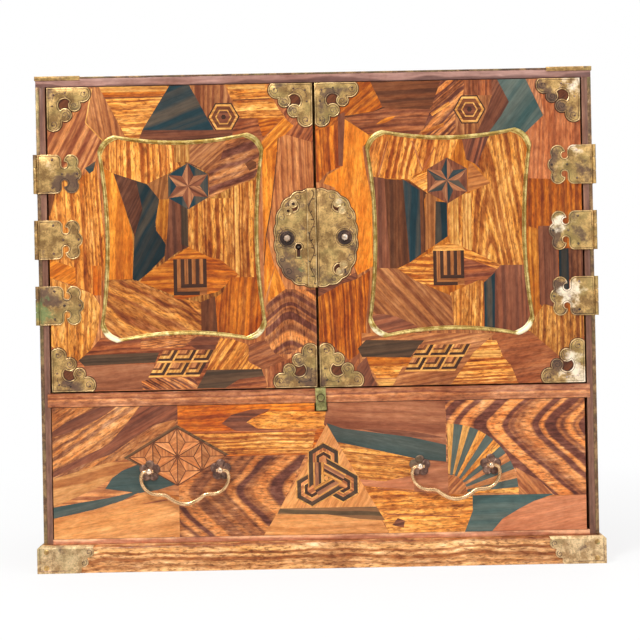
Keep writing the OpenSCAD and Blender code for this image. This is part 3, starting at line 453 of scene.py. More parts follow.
@dataclass(frozen=True)
class BoardFinish:
    """A plain board's wood, read from its place in the cabinet."""

    name: str
    light: str
    dark: str
    along: Along
    band: float = 3.0
    contrast: float = 0.8
    wave: float = 6.0
    fleck: float = 0.4
    gloss: float = 0.3
    grime: float = 0.6
    pith: Point = (0.31, -0.12)

    @cache
    def material(self) -> bpy.types.Material:
        """Material with the rings of a log whose pith lies outside the board.

        Returns:
            The material.
        """
        made, tree, shader = new_material(self.name)
        place = tree.add("ShaderNodeTexCoord").outputs["Object"]
        axes = tree.split(place)
        length = axes[self.along.value]
        first, second = (axes[i] for i in range(3) if i != self.along.value)
        from_pith = [tree.math("SUBTRACT", a, b) for a, b in ((first, self.pith[0]), (second, self.pith[1]))]
        square = tree.scaled(from_pith[0], from_pith[0], tree.math("POWER", from_pith[1], 2))
        grain = tree.vector(length, tree.math("SQRT", square), 0.37)
        figure = {"Grain": grain, "Light": colour(self.light), "Dark": colour(self.dark),
                  "Band": self.band * MM, "Contrast": self.contrast, "Arch": 0.0,
                  "Wave": self.wave * MM, "Fleck": self.fleck}
        dress_wood(tree, shader, figure, place, self.gloss, self.grime)
        return made


@dataclass(frozen=True)
class MetalFinish:
    """One of the brasswork's finishes."""

    name: str
    bright: str
    dull: str
    stain: str = "#4E3830"
    worn: str = "#E9CDB4"
    green: str = "#5E7248"
    stains: float = 0.2
    relief: float = 0.09
    polish: float = 0.3

    @cache
    def material(self) -> bpy.types.Material:
        """Material whose stains, wear and patina also follow the mesh attribute wear.

        Returns:
            The material.
        """
        made, tree, shader = new_material(self.name)
        inputs = {word: colour(getattr(self, word.lower()))
                  for word in ("Bright", "Dull", "Stain", "Worn", "Green")}
        inputs["Place"] = tree.add("ShaderNodeTexCoord").outputs["Object"]
        inputs["Wear"] = tree.add("ShaderNodeAttribute", attribute_name="wear").outputs["Vector"]
        inputs["Stains"], inputs["Polish"] = self.stains, self.polish
        metal = AGED_METAL.place(tree, inputs)
        for socket, result in (("Base Color", "Color"), ("Metallic", "Metallic"), ("Roughness", "Roughness")):
            tree.put(shader[socket], metal[result])
        tree.put(shader["Normal"], bump(tree, metal["Height"], self.relief))
        return made


CARCASS_WOOD = BoardFinish("carcass_upright", "#A2765E", "#603C32", Along.Z, 2.5, 0.9, fleck=0.15,
                           pith=(0.3, -0.2))
PLINTH_WOOD = BoardFinish("plinth_across", "#F6BC7A", "#A4602E", Along.X, 3.4, 0.95, 9, 1.0,
                          pith=(-0.14, -0.06))
PLAIN_WOOD = BoardFinish("plain_across", "#C79A66", "#94683E", Along.X, 4, 0.7, 8, 0.3, 0.0, 0.8)


class Finish(Enum):
    """Every finish but the marquetry's."""

    CARCASS_UP = CARCASS_WOOD
    CARCASS_LEFT = replace(CARCASS_WOOD, name="carcass_left", pith=(-0.3, -0.2))
    CARCASS_ACROSS = BoardFinish("carcass_across", "#B4887A", "#6C4A44", Along.X, 3.5, 0.8, 8, fleck=0.1,
                                 pith=(-0.45, 0.1))
    CARCASS_LOW = BoardFinish("carcass_low", "#FFC090", "#C8805C", Along.X, 2.5, 0.9, pith=(0.1, -0.1))
    RAIL = BoardFinish("rail_wood", "#DC9058", "#925238", Along.X, 2.2, 0.9, 5, 0.6, pith=(-0.17, 0.01))
    PLINTH = PLINTH_WOOD
    PLINTH_DEEP = replace(PLINTH_WOOD, name="plinth_deep", along=Along.Y, pith=(0.23, -0.05))
    PLINTH_BACK = replace(PLINTH_WOOD, name="plinth_rear", pith=(0.14, -0.06))
    PLINTH_LEFT = replace(PLINTH_WOOD, name="plinth_left_end", along=Along.Y, pith=(-0.23, -0.05))
    PLAIN_ACROSS = PLAIN_WOOD
    PLAIN_DEEP = replace(PLAIN_WOOD, name="plain_deep", along=Along.Y)
    PLAIN_UP = replace(PLAIN_WOOD, name="plain_upright", along=Along.Z)
    DOOR_CORE = BoardFinish("door_core", "#9A5230", "#5E2C1E", Along.Z, 2.5, 0.8, 5, 0.4, 0.2, 0.6)
    DRAWER_CORE = BoardFinish("drawer_core", "#9A5A34", "#5E3020", Along.X, 2.5, 0.8, 5, 0.4, 0.2, 0.6)
    INNER_FRONT = BoardFinish("inner_front", "#C07840", "#7A4026", Along.X, 3, 0.9, 9, 0.6, 0.4, 0.4)
    BRASS = MetalFinish("aged_brass", "#E0B672", "#9A7648", "#583E34", "#F4E4C8", "#6E8450")
    EDGE = MetalFinish("edge_brass", "#A8865E", "#6C503C", "#4E382E", "#E8D4B8", "#6E8450")
    PLINTH_BRASS = MetalFinish("plinth_brass", "#F2D2A0", "#B49064", "#604438", "#FFF0DC", "#6E8450", 0.05)
    BEAD = MetalFinish("bead_brass", "#F2DC90", "#AC8A40", "#7A5A24", "#FFF6CC", "#A88C40", 0.05, 0.03, 0.22)
    DARK = MetalFinish("dark_brass", "#8A6A5C", "#564038", "#2E2220", "#D8C0B0", stains=0.2)
    RIM = MetalFinish("worn_rim", "#F0CE98", "#B4925E", "#6A4C3A", "#FFEFD8", "#A89468", 0.05)
    LINE = MetalFinish("chased_line", "#6A4C3A", "#40291F", "#2A1A16", "#8A6E58", stains=0.3)
    # Thin dark line round the brass plates.
    SEAM = BoardFinish("old_polish", "#5A3020", "#3A2018", Along.X, fleck=0.1, gloss=0.1)
    # Pale brass of the right volutes' eyes, also used to paint the highlights along the astragal's edges.
    PALE_BRASS = MetalFinish("pale_brass", "#F2E0B4", "#C8AA74", "#8A6A48", "#FFF4DC", "#B8A070", 0.05)
    ROSETTE = MetalFinish("rosette_brass", "#9C7A68", "#664A40", "#3C2A24", "#E0C0A4", stains=0.1)
    BAIL = MetalFinish("bail_brass", "#F0C896", "#CCA070", "#5E3E28", "#FFF0DC", "#C8A070", 0.0, 0.01, 0.16)
    # Painted highlight: nearly white brass for the pull posts' ball heads.
    POST = MetalFinish("post_brass", "#FFEAD0", "#D8B088", "#6A4C3A", "#FFF4DC", "#D8B088", 0.0, 0.01, 0.12)
    BUTTON = MetalFinish("button_brass", "#C0B674", "#827A4A", "#4A4228", "#D8CE96", stains=0.05)
    IRON = MetalFinish("lock_metal", "#8A8070", "#5C544A", "#3A2E28", "#B0A898", stains=0.3)
    # Painted highlight: nearly white brass for the door pulls' domes.
    DOME = MetalFinish("bright_dome", "#FFF8EC", "#E6D2BC", "#A08468", "#FFFFFF", "#E6D2BC", 0.0, 0.02, 0.12)

    def material(self) -> bpy.types.Material:
        """Material of this finish."""
        return self.value.material()


# Meshes


def new_object(name: str, mesh: bpy.types.Mesh, material: bpy.types.Material | None) -> bpy.types.Object:
    """Links a mesh into the scene as an object at the origin.

    Args:
        name: Name of the piece.
        mesh: Its mesh.
        material: Its only material, or None where the mesh has its own.

    Returns:
        The new object.
    """
    made = bpy.data.objects.new(name, mesh)
    bpy.context.scene.collection.objects.link(made)
    if material:
        mesh.materials.clear()
        mesh.materials.append(material)
    return made


def shade(mesh: bpy.types.Mesh) -> None:
    """Shades a mesh smooth, but for the edges where its faces meet at a sharp angle."""
    mesh.shade_smooth()
    mesh.set_sharp_from_angle(angle=SHARP_SHADE)


def install(piece: bpy.types.Object, body: str, slot: str, *replaced: str) -> None:
    """Lets a piece ride on its body, hides the nodes that it stands for, and reports it.

    Args:
        piece: The finished piece.
        body: Body of the frame that it moves with.
        slot: Name of a slot of the record; not used.
        *replaced: Nodes of the frame that it stands for.
    """
    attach(piece, body)
    if replaced:
        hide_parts(*replaced)
    log.info("%s: %d faces on %s", piece.name, len(piece.data.polygons), body)


def baked(work: bmesh.types.BMesh, name: str) -> bpy.types.Mesh:
    """Turns a BMesh into a shaded mesh, and frees it.

    Args:
        work: Shape in metres.
        name: Name of the mesh.

    Returns:
        The mesh.
    """
    mesh = bpy.data.meshes.new(name)
    work.to_mesh(mesh)
    work.free()
    shade(mesh)
    return mesh


def mesh_from(name: str, build: Callable[[bmesh.types.BMesh], Any]) -> bpy.types.Mesh:
    """Mesh filled by a function that works on a BMesh in metres.

    Args:
        name: Name of the mesh.
        build: Adds the shape to an empty BMesh.

    Returns:
        The mesh, with its faces turned outwards.
    """
    work = bmesh.new()
    build(work)
    bmesh.ops.remove_doubles(work, verts=work.verts, dist=FINE_WELD)
    bmesh.ops.recalc_face_normals(work, faces=work.faces)
    return baked(work, name)


def node_copy(node: str) -> bmesh.types.BMesh:
    """Welded copy of a node of the frame.

    Args:
        node: Name of the node.

    Returns:
        The copy, which the caller frees.
    """
    work = bmesh.new()
    work.from_mesh(frame["nodes"][node].data)
    bmesh.ops.remove_doubles(work, verts=work.verts, dist=WELD)
    return work


def body_of(node: str) -> str:
    """Name of the body that holds a node."""
    return frame["nodes"][node]["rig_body"]


SLOT_OF = {node: item.material_slots[0].material.name.split(".")[0] for node, item in frame["nodes"].items()}


@dataclass
class Softened:
    """A copy of a node of the frame with bevelled edges."""

    node: str
    finish: Finish
    bevel: float = 0.3
    plate: bool = False

    def build(self) -> None:
        """Copies and bevels the node, and installs the copy in its place."""
        work = node_copy(self.node)
        if not self.plate:
            bmesh.ops.dissolve_limit(work, angle_limit=math.radians(1), verts=work.verts, edges=work.edges)
        sharp = [e for e in work.edges if e.is_manifold and e.calc_face_angle() > SHARP_FOLD]
        bmesh.ops.bevel(work, geom=sharp, offset=self.bevel * MM, segments=2, profile=0.5,
                        affect="EDGES", clamp_overlap=True)
        bmesh.ops.remove_doubles(work, verts=work.verts, dist=FINE_WELD)
        mesh = baked(work, self.node + "_dressed")
        dress(mesh, self.finish, body_of(self.node), SLOT_OF[self.node], self.node)


# Round worn areas of the brass, and a few painted glints, by kind in the order of the mesh attribute wear.
# Each has its x, z and reach in millimetres on the front, and an amount.
STAINED = (
    (-182, 188, 14, 0.45), (-172, 275, 9, 0.8), (168, 326, 8, 0.6), (166, 140, 7, 0.5), (167, 230, 6, 0.6),
    (168, 286, 6, 0.6), (168, 194, 6, 0.6), (186, 230, 8, 0.3), (188, 178, 7, 0.5), (-20, 208, 9, 0.8),
    (-22, 258, 7, 0.3), (-180, 132, 10, 0.4), (-22, 232.7, 8, 0.5), (18.5, 232.7, 8, 0.5), (168, 6.5, 4, 0.4),
    (-172, 16, 5, 0.35), (12, 337, 9, 0.4), (-13, 134, 10, 0.3),
)
# The pale spots at the four lower corners of the beads, and the one beside the keyhole, are painted glints;
# the rest are worn brass.
WORN_AND_GLINTS = (
    (-190, 240, 9, 0.4), (184, 133, 13, 0.9), (185, 338, 11, 0.8), (184, 290, 9, 0.7), (177, 147, 5, 0.8),
    (172, 240, 9, 0.8), (171, 276, 6, 0.6), (-146, 164, 9, 1.0), (-40, 163, 9, 0.9), (40, 163, 9, 0.9),
    (147, 164, 9, 1.0), (-110, 164, 18, 0.5), (-100, 300, 30, 0.25), (180, 190, 12, 0.9),
    (-188, 284, 12, 0.6), (-16, 223, 3, 0.6), (20, 262, 8, 0.35), (-178, 337, 10, 0.3), (-14, 335, 9, 0.25),
)
PATINA = ((-196, 184, 9, 1.0), (-11.5, 221, 2.4, 0.9), (196, 12, 6, 0.6))


def wear_at(place: Vector) -> Vector:
    """How stained, worn and green the brass is at a place, with the painted glints counted as worn.

    Args:
        place: Point in metres.

    Returns:
        The three amounts.
    """
    total = Vector((0, 0, 0))
    for kind, spots in enumerate((STAINED, WORN_AND_GLINTS, PATINA)):
        for x, z, reach, amount in spots:
            away = math.hypot(place.x / MM - x, place.z / MM - z) / reach
            total[kind] += amount * math.exp(-away * away)
    return total


def set_wear(mesh: bpy.types.Mesh) -> None:
    """Adds the wear of the spots to a mesh's attribute wear.

    Args:
        mesh: Mesh in the cabinet's frame.
    """
    name = "wear"
    attribute = mesh.attributes.get(name) or mesh.attributes.new(name, "FLOAT_VECTOR", "POINT")
    for vertex, item in zip(mesh.vertices, attribute.data):
        item.vector = Vector(item.vector) + wear_at(vertex.co)


def dress(mesh: bpy.types.Mesh, finish: Finish, body: str, slot: str, *replaced: str) -> None:
    """Wears and paints a mesh, and installs it as a piece of the same name.

    Args:
        mesh: Mesh in the cabinet's frame.
        finish: Its finish.
        body: Body of the frame that it moves with.
        slot: Slot of the record that it takes its finish from.
        *replaced: Nodes of the frame that it stands for.
    """
    set_wear(mesh)
    install(new_object(mesh.name, mesh, finish.material()), body, slot, *replaced)


# Geometry trees for what repeats or follows a path


class GeometryTree(Tree):
    """A geometry node tree with named inputs whose last steps make plain, painted geometry."""

    def __init__(self, name: str, inputs: Mapping[str, str]) -> None:
        """Makes the tree's inputs and output.

        Args:
            name: Name of the tree.
            inputs: Kind of each input, by name.
        """
        super().__init__(bpy.data.node_groups.new(name, "GeometryNodeTree"))
        face = self.tree.interface
        face.new_socket(name="Geometry", in_out="INPUT", socket_type="NodeSocketGeometry")
        for label, kind in inputs.items():
            face.new_socket(name=label, in_out="INPUT", socket_type=SOCKETS[kind])
        face.new_socket(name="Material", in_out="INPUT", socket_type="NodeSocketMaterial")
        face.new_socket(name="Geometry", in_out="OUTPUT", socket_type="NodeSocketGeometry")
        self.given = self.add("NodeGroupInput").outputs

    def read(self, name: str, kind: str = "FLOAT") -> Socket:
        """Value of a named attribute."""
        node = self.add("GeometryNodeInputNamedAttribute", {"Name": name}, data_type=kind)
        return node.outputs["Attribute"]

    def random(self, low: float, high: float) -> Socket:
        """Seeded random number for each element."""
        inputs = {2: low, 3: high, 8: self.given["Seed"]}
        node = self.add("FunctionNodeRandomValue", inputs, data_type="FLOAT")
        return node.outputs[1]

    def close(self, *parts: Socket) -> None:
        """Joins the parts, makes their instances real and paints them.

        Args:
            *parts: Geometry sockets to join.
        """
        joined = self.add("GeometryNodeJoinGeometry")
        for part in parts:
            self.tree.links.new(part, joined.inputs[0])
        real = self.add("GeometryNodeRealizeInstances", {0: joined.outputs[0]})
        paint = {"Geometry": real.outputs[0], "Material": self.given["Material"]}
        self.add("NodeGroupOutput", {0: self.add("GeometryNodeSetMaterial", paint).outputs[0]})

    def grow(self, name: str, seeds: bpy.types.Mesh, finish: Finish, **inputs: Any) -> bpy.types.Object:
        """Runs the tree on a mesh.

        Args:
            name: Name of the piece.
            seeds: Mesh whose points or edges the tree builds on.
            finish: Finish of the result.
            **inputs: Values of the tree's inputs.

        Returns:
            An object with the plain mesh that the tree made.
        """
        holder = bpy.data.objects.new(name + "_seeds", seeds)
        bpy.context.scene.collection.objects.link(holder)
        modifier = holder.modifiers.new("growth", "NODES")
        modifier.node_group = self.tree
        values = {**inputs, "Material": finish.material()}
        for item in self.tree.interface.items_tree:
            if item.in_out == "INPUT" and item.name in values:
                modifier[item.identifier] = values[item.name]
        view = bpy.context.evaluated_depsgraph_get()
        mesh = bpy.data.meshes.new_from_object(holder.evaluated_get(view), depsgraph=view)
        holder.modifiers.clear()
        bpy.data.objects.remove(holder)
        mesh.name = name
        shade(mesh)
        set_wear(mesh)
        return new_object(name, mesh, finish.material())


@cache
def nail_tree() -> GeometryTree:
    """Tree that sets a domed nail head on each point, turned and sized a little differently.

    Returns:
        The tree.
    """
    tree = GeometryTree("nail_heads", {"Seed": "whole", "Sides": "whole"})
    dome = tree.add("GeometryNodeMeshUVSphere", {"Segments": tree.given["Sides"], "Rings": 8, "Radius": 1.0})
    facing = {"Vector": tree.read("facing", "FLOAT_VECTOR")}
    stance = tree.add("FunctionNodeAlignRotationToVector", facing, axis="Z").outputs[0]
    spin = tree.add("FunctionNodeAxisAngleToRotation", {"Axis": (0, 0, 1), "Angle": tree.random(0, 6.28)})
    turn = tree.add("FunctionNodeRotateRotation", {0: stance, 1: spin.outputs[0]}, rotation_space="LOCAL")
    size = tree.times(tree.read("size"), tree.random(0.92, 1.0))
    heads = tree.add("GeometryNodeInstanceOnPoints", {
        "Points": tree.given["Geometry"], "Instance": dome.outputs[0], "Rotation": turn.outputs[0],
        "Scale": tree.vector(size, size, tree.read("rise"))})
    tree.close(heads.outputs[0])
    return tree


def sweep(tree: GeometryTree) -> tuple[Socket, Socket]:
    """Adds the steps that sweep a round rod along the edges of the input.

    Args:
        tree: Tree to add them to.

    Returns:
        The curve and the rod round it.
    """
    curve = tree.add("GeometryNodeMeshToCurve", {0: tree.given["Geometry"]}).outputs[0]
    ring = tree.add("GeometryNodeCurvePrimitiveCircle", {"Resolution": tree.given["Sides"], "Radius": 1.0})
    rod = tree.add("GeometryNodeCurveToMesh", {"Curve": curve, "Profile Curve": ring.outputs[0],
                                               "Scale": tree.read("thickness"), "Fill Caps": True})
    return curve, rod.outputs[0]


@cache
def rod_tree() -> GeometryTree:
    """Tree that sweeps a round rod along each line.

    Returns:
        The tree.
    """
    tree = GeometryTree("swept_rods", {"Sides": "whole"})
    tree.close(sweep(tree)[1])
    return tree


@cache
def vine_tree() -> GeometryTree:
    """Tree that grows a stem along a line, with leaves to its left and right by turns.

    Returns:
        The tree.
    """
    tree = GeometryTree("vine", {"Seed": "whole", "Sides": "whole", "Spacing": "float", "Leaf": "float"})
    curve, stem = sweep(tree)
    stations = {"Curve": curve, "Length": tree.given["Spacing"]}
    places = tree.add("GeometryNodeCurveToPoints", stations, mode="LENGTH")
    ball = tree.add("GeometryNodeMeshUVSphere", {"Segments": 10, "Rings": 6, "Radius": 0.5})
    leaf = tree.add("GeometryNodeTransform", {"Geometry": ball.outputs[0], "Translation": (0.55, 0, 0),
                                              "Scale": (1.0, 0.42, 0.2)})
    axes = {"Primary Axis": tuple(FRONT), "Secondary Axis": places.outputs["Tangent"]}
    stance = tree.add("FunctionNodeAxesToRotation", axes, primary_axis="Z", secondary_axis="X").outputs[0]
    index = tree.add("GeometryNodeInputIndex").outputs[0]
    side = tree.scaled(tree.math("MODULO", index, 2), 2, -1)
    lean = tree.times(side, tree.random(0.8, 1.15))
    swing = tree.add("FunctionNodeAxisAngleToRotation", {"Axis": (0, 0, 1), "Angle": lean})
    turn = tree.add("FunctionNodeRotateRotation", {0: stance, 1: swing.outputs[0]}, rotation_space="LOCAL")
    size = tree.times(tree.given["Leaf"], tree.random(0.8, 1.0))
    leaves = tree.add("GeometryNodeInstanceOnPoints", {
        "Points": places.outputs["Points"], "Instance": leaf.outputs[0], "Rotation": turn.outputs[0],
        "Scale": tree.vector(size, size, size)})
    tree.close(stem, leaves.outputs[0])
    return tree


@dataclass(frozen=True)
class Line:
    """A line on a face: its points and its half thickness in millimetres."""

    points: Sequence[Point]
    thickness: float = 0.24
    closed: bool = False


def scroll(centre: Point, reach: float, turns: float, start: float, hand: int) -> Line:
    """Spiral that winds in towards its centre.

    Args:
        centre: Middle of the scroll.
        reach: Largest distance from the middle.
        turns: Number of turns.
        start: Angle of its outer end in degrees.
        hand: 1 or -1, for the way it turns.

    Returns:
        The line.
    """
    points = []
    steps, wound_in = 26, 0.78
    for i in range(steps + 1):
        share = i / steps
        angle = math.radians(start + hand * 360 * turns * share)
        away = reach * (1 - wound_in * share)
        points.append((centre[0] + away * math.cos(angle), centre[1] + away * math.sin(angle)))
    return Line(points)


def arc(centre: Point, radius: float, degrees: Iterable[float]) -> list[Point]:
    """Points of a circle at the given angles."""
    angles = [math.radians(angle) for angle in degrees]
    return [(centre[0] + radius * math.cos(a), centre[1] + radius * math.sin(a)) for a in angles]


def loop(centre: Point, radius: float, thickness: float) -> Line:
    """Circle drawn as a line."""
    return Line(round_points(centre, radius, 28), thickness, True)


def line_seeds(lines: Sequence[Line], y: float) -> bpy.types.Mesh:
    """Mesh of edges along the lines, at a depth y in millimetres.

    Args:
        lines: Lines to lay.
        y: Depth of the face in millimetres.

    Returns:
        The mesh.
    """
    places, edges, sizes = [], [], []
    for line in lines:
        first = len(places)
        places += [(x * MM, y * MM, z * MM) for x, z in line.points]
        sizes += [line.thickness * MM] * len(line.points)
        edges += [(first + i, first + i + 1) for i in range(len(line.points) - 1)]
        if line.closed:
            edges.append((len(places) - 1, first))
    mesh = bpy.data.meshes.new("seeds")
    mesh.from_pydata(places, edges, [])
    mesh.attributes.new("thickness", "FLOAT", "POINT").data.foreach_set("value", sizes)
    return mesh


def lay_rods(name: str, body: str, slot: str, lines: Sequence[Line], y: float, finish: Finish,
             sides: int = 6) -> None:
    """Lays round rods along lines, with their middle at one depth.

    Args:
        name: Name of the piece.
        body: Body of the frame that it moves with.
        slot: Slot of the record that it takes its finish from.
        lines: Lines to follow.
        y: That depth, in millimetres.
        finish: Finish of the rods.
        sides: Number of sides of each rod.
    """
    install(rod_tree().grow(name, line_seeds(lines, y), finish, Sides=sides), body, slot)


def chase(name: str, body: str, lines: Sequence[Line], y: float, finish: Finish = Finish.DARK) -> None:
    """Chases lines into a metal face, as fine rods that are sunk half their thickness."""
    lay_rods(name, body, "dark_brass", lines, y, finish)


def islands(node: str) -> list[tuple[Vector, Vector]]:
    """Lowest and highest corner of each separate shell of a node of the frame, in millimetres.

    Args:
        node: Name of the node.

    Returns:
        The two corners of each shell, sorted from the left.
    """
    work = node_copy(node)
    left = set(work.verts)
    boxes = []
    while left:
        reached = [left.pop()]
        for vertex in reached:
            for edge in vertex.link_edges:
                other = edge.other_vert(vertex)
                if other in left:
                    left.remove(other)
                    reached.append(other)
        low, high = (Vector([pick(v.co[i] for v in reached) / MM for i in range(3)]) for pick in (min, max))
        boxes.append((low, high))
    work.free()
    return sorted(boxes, key=lambda box: tuple(box[0]))


def face_outlines(node: str) -> tuple[list[list[Vector]], float]:
    """Outlines of a plate's front face, with the plate to the left of each.

    Args:
        node: Node of the frame.

    Returns:
        The outlines as (x, z) points in millimetres, and the depth of the face.
    """
    facing_front, level, fewest_points = -0.99, 0.02 * MM, 5
    work = node_copy(node)
    faces = [f for f in work.faces if f.normal.y < facing_front]
    depth = min(frequent_depth(faces))
    faces = {f for f in faces if abs(f.calc_center_median().y - depth) < level}
    after: dict[Any, Any] = {}
    for face in faces:
        for corner in face.loops:
            if sum(other in faces for other in corner.edge.link_faces) == 1:
                after[corner.vert] = corner.link_loop_next.vert
    outlines = []
    while after:
        start, vertex = after.popitem()
        ring = [start]
        while vertex is not start and vertex in after:
            ring.append(vertex)
            vertex = after.pop(vertex)
        outlines.append([Vector((v.co.x / MM, v.co.z / MM)) for v in ring])
    work.free()
    return [ring for ring in outlines if len(ring) >= fewest_points], depth / MM


def frequent_depth(faces: Iterable[bmesh.types.BMFace]) -> list[float]:
    """Depths that hold a good share of the faces' area.

    Args:
        faces: Faces to look at.

    Returns:
        The depths.
    """
    areas: dict[float, float] = {}
    for face in faces:
        depth = round(face.calc_center_median().y, 5)
        areas[depth] = areas.get(depth, 0.0) + face.calc_area()
    enough = 0.3 * max(areas.values())
    return [depth for depth, area in areas.items() if area > enough]


def drawn_in(ring: Sequence[Vector], inset: float) -> list[Point]:
    """Outline moved to its left by inset, without the points that would cross.

    Args:
        ring: Closed outline.
        inset: Distance to draw it in by.

    Returns:
        The new outline.
    """
    moved = []
    count = len(ring)
    shortest, sharpest, flattest, furthest = 1e-4, 0.3, 0.5, 1.5
    for i in range(count):
        back, ahead = ring[i] - ring[i - 1], ring[(i + 1) % count] - ring[i]
        if back.length < shortest or ahead.length < shortest:
            continue
        run = back.normalized() + ahead.normalized()
        if run.length < sharpest:
            continue
        run.normalize()
        left = Vector((-run.y, run.x))
        slope = left.dot(Vector((-ahead.y, ahead.x)).normalized())
        spread = min(furthest, 1 / max(flattest, slope))
        moved.append(ring[i] + left * inset * spread)
    return [tuple(p) for p in moved]


def seam(node: str, low: Vector, high: Vector) -> None:
    """Draws a thin dark line round a plate, within its door's edges.

    Args:
        node: Node of the plate.
        low: Lowest corner of the door, in millimetres.
        high: Highest corner of the door, in millimetres.
    """
    outset, thickness = 0.28, 0.3
    lines = []
    for ring in face_outlines(node)[0]:
        points = [(min(high.x - thickness, max(low.x + thickness, x)),
                   min(high.z - thickness, max(low.z + thickness, z))) for x, z in drawn_in(ring, -outset)]
        lines.append(Line(points, thickness, True))
    lay_rods(node + "_seam", body_of(node), "marquetry", lines, low.y, Finish.SEAM)


def rim(node: str) -> None:
    """Runs a raised rim round a plate's front face, with a dark quirk inside it.

    Args:
        node: Node of the plate.
    """
    inset, rise, groove, sunk = 0.42, 0.26, 0.62, 0.05
    outlines, depth = face_outlines(node)
    strips = (("_rim", Finish.RIM, inset, rise), ("_quirk", Finish.LINE, inset + groove, 0.2))
    for name, finish, away, size in strips:
        lines = [Line(drawn_in(ring, away), size, True) for ring in outlines]
        lay_rods(node + name, body_of(node), SLOT_OF[node], lines, depth + sunk, finish, 8)


def nail_heads(node: str, finish: Finish, slot: str) -> None:
    """Stands domed nail heads where a node of the frame has its plain ones.

    Args:
        node: Node of the plain heads.
        finish: Finish of the nails.
        slot: Slot of the record that they take their finish from.
    """
    places, facings, sizes, rises = [], [], [], []
    for low, high in islands(node):
        extent, middle = high - low, (low + high) / 2
        axis = min(range(3), key=lambda i: extent[i])
        facing = Vector((0, 0, 0))
        facing[axis] = math.copysign(1, middle[axis])
        place = middle - facing * extent[axis] / 2
        places.append(place * MM)
        facings.extend(facing)
        sizes.append(max(extent) / 2 * MM)
        rises.append(extent[axis] * MM)
    mesh = bpy.data.meshes.new("seeds")
    mesh.from_pydata(places, [], [])
    mesh.attributes.new("facing", "FLOAT_VECTOR", "POINT").data.foreach_set("vector", facings)
    for name, numbers in (("size", sizes), ("rise", rises)):
        mesh.attributes.new(name, "FLOAT", "POINT").data.foreach_set("value", numbers)
    piece = nail_tree().grow(node + "_domed", mesh, finish, Seed=SEED, Sides=14)
    install(piece, body_of(node), slot, node)


def join_rings(work: bmesh.types.BMesh, rings: Sequence[Sequence[bmesh.types.BMVert]]) -> None:
    """Joins each ring of points to the next one with faces.

    Args:
        work: BMesh that holds the points.
        rings: Rings of one length; a ring of one point makes a tip.
    """
    for ring, after in zip(rings, rings[1:]):
        for i in range(len(ring)):
            corners = dict.fromkeys((ring[i], ring[(i + 1) % len(ring)], after[(i + 1) % len(after)],
                                     after[i % len(after)]))
            if len(corners) > 2:
                work.faces.new(list(corners))


def lathe(work: bmesh.types.BMesh, profile: Sequence[Point], centre: Vector, sides: int = 48) -> None:
    """Turns a profile of (radius, rise) pairs round an axis that points to the front.

    Args:
        work: BMesh to add the shape to.
        profile: Radius and rise of each ring, from the rim to the tip.
        centre: Middle of the base, in millimetres.
        sides: Number of points round each ring.
    """
    rings = []
    for radius, rise in profile:
        angles = [2 * math.pi * i / sides for i in range(sides if radius else 1)]
        spokes = [Vector((radius * math.cos(a), -rise, radius * math.sin(a))) for a in angles]
        rings.append([work.verts.new((centre + spoke) * MM) for spoke in spokes])
    join_rings(work, rings)
    work.faces.new(rings[0])


# Marquetry


@dataclass(frozen=True)
class Species:
    """A veneer wood: its two colours, and how its figure runs. Lengths are in millimetres."""

    light: str
    dark: str
    band: float
    contrast: float
    wave: float
    fleck: float


class Wood(Enum):
    """The veneer woods of the marquetry."""

    GOLD = Species("#F8A748", "#A35218", 2.6, 0.85, 4, 0.9)
    PALE = Species("#E6AA57", "#B46B2A", 2.0, 0.7, 2, 0.5)
    ORANGE = Species("#E58724", "#AC550F", 3.0, 0.75, 3, 0.5)
    DEEP = Species("#DE7617", "#94410D", 3.0, 0.85, 4, 0.6)
    SALMON = Species("#D3874B", "#8B4828", 2.6, 0.8, 3, 0.4)
    TAN = Species("#B26F38", "#7D441D", 2.4, 0.7, 2, 0.3)
    RUSSET = Species("#BB6A39", "#733722", 3.0, 0.8, 4, 0.45)
    ROSE = Species("#B5764C", "#77452F", 2.0, 0.7, 2, 0.2)
    PURPLE = Species("#8C4F32", "#552E21", 3.0, 0.7, 3, 0.2)
    BROWN = Species("#7E4523", "#4E2916", 3.0, 0.7, 3, 0.2)
    TEAL = Species("#574B3D", "#18343B", 9.0, 1.3, 7, 0.05)
    SLATE = Species("#5E432D", "#35291D", 4.0, 0.7, 3, 0.05)
    OLIVE = Species("#875D38", "#4A3C25", 3.0, 0.8, 3, 0.1)
    DARK = Species("#4A2C1C", "#281610", 3.0, 0.5, 2, 0.0)
    CORAL = Species("#D8885A", "#A85C38", 7.0, 0.5, 6, 0.2)
    GREEN = Species("#5E665C", "#385350", 12.0, 0.9, 7, 0.05)
    PEACH = Species("#E8A05A", "#BE7036", 6.0, 0.6, 7, 0.3)
    BURL = Species("#EBA04A", "#9A5426", 5.0, 1.0, 24, 0.9)
    FIGURED = Species("#E7924B", "#703C2A", 8.0, 1.2, 9, 0.8)


@dataclass(frozen=True)
class Patch:
    """One piece of veneer: its wood, the angle of its grain and its outline in millimetres."""

    wood: Wood
    grain: float
    outline: Sequence[Point]
    tone: float = 1.0
    arch: float = 0.0
    band: float | None = None
    contrast: float | None = None
    heart: Point | None = None


def bar(wood: Wood, x0: float, x1: float, z0: float, z1: float, grain: float = 90.0, **more: Any) -> Patch:
    """Upright piece of veneer between two opposite corners."""
    return Patch(wood, grain, [(x0, z0), (x1, z0), (x1, z1), (x0, z1)], **more)


def streak(wood: Wood, start: Point, end: Point, width: float, **more: Any) -> Patch:
    """Strip of veneer along a line, with its grain along the strip.

    Args:
        wood: Its wood.
        start: One end.
        end: Other end.
        width: Its width.
        **more: Other values of the patch.

    Returns:
        The patch.
    """
    run = Vector(end) - Vector(start)
    out = Vector((-run.y, run.x)).normalized() * width / 2
    ends = [Vector(start) - out, Vector(end) - out, Vector(end) + out, Vector(start) + out]
    return Patch(wood, math.degrees(math.atan2(run.y, run.x)), [tuple(p) for p in ends], **more)


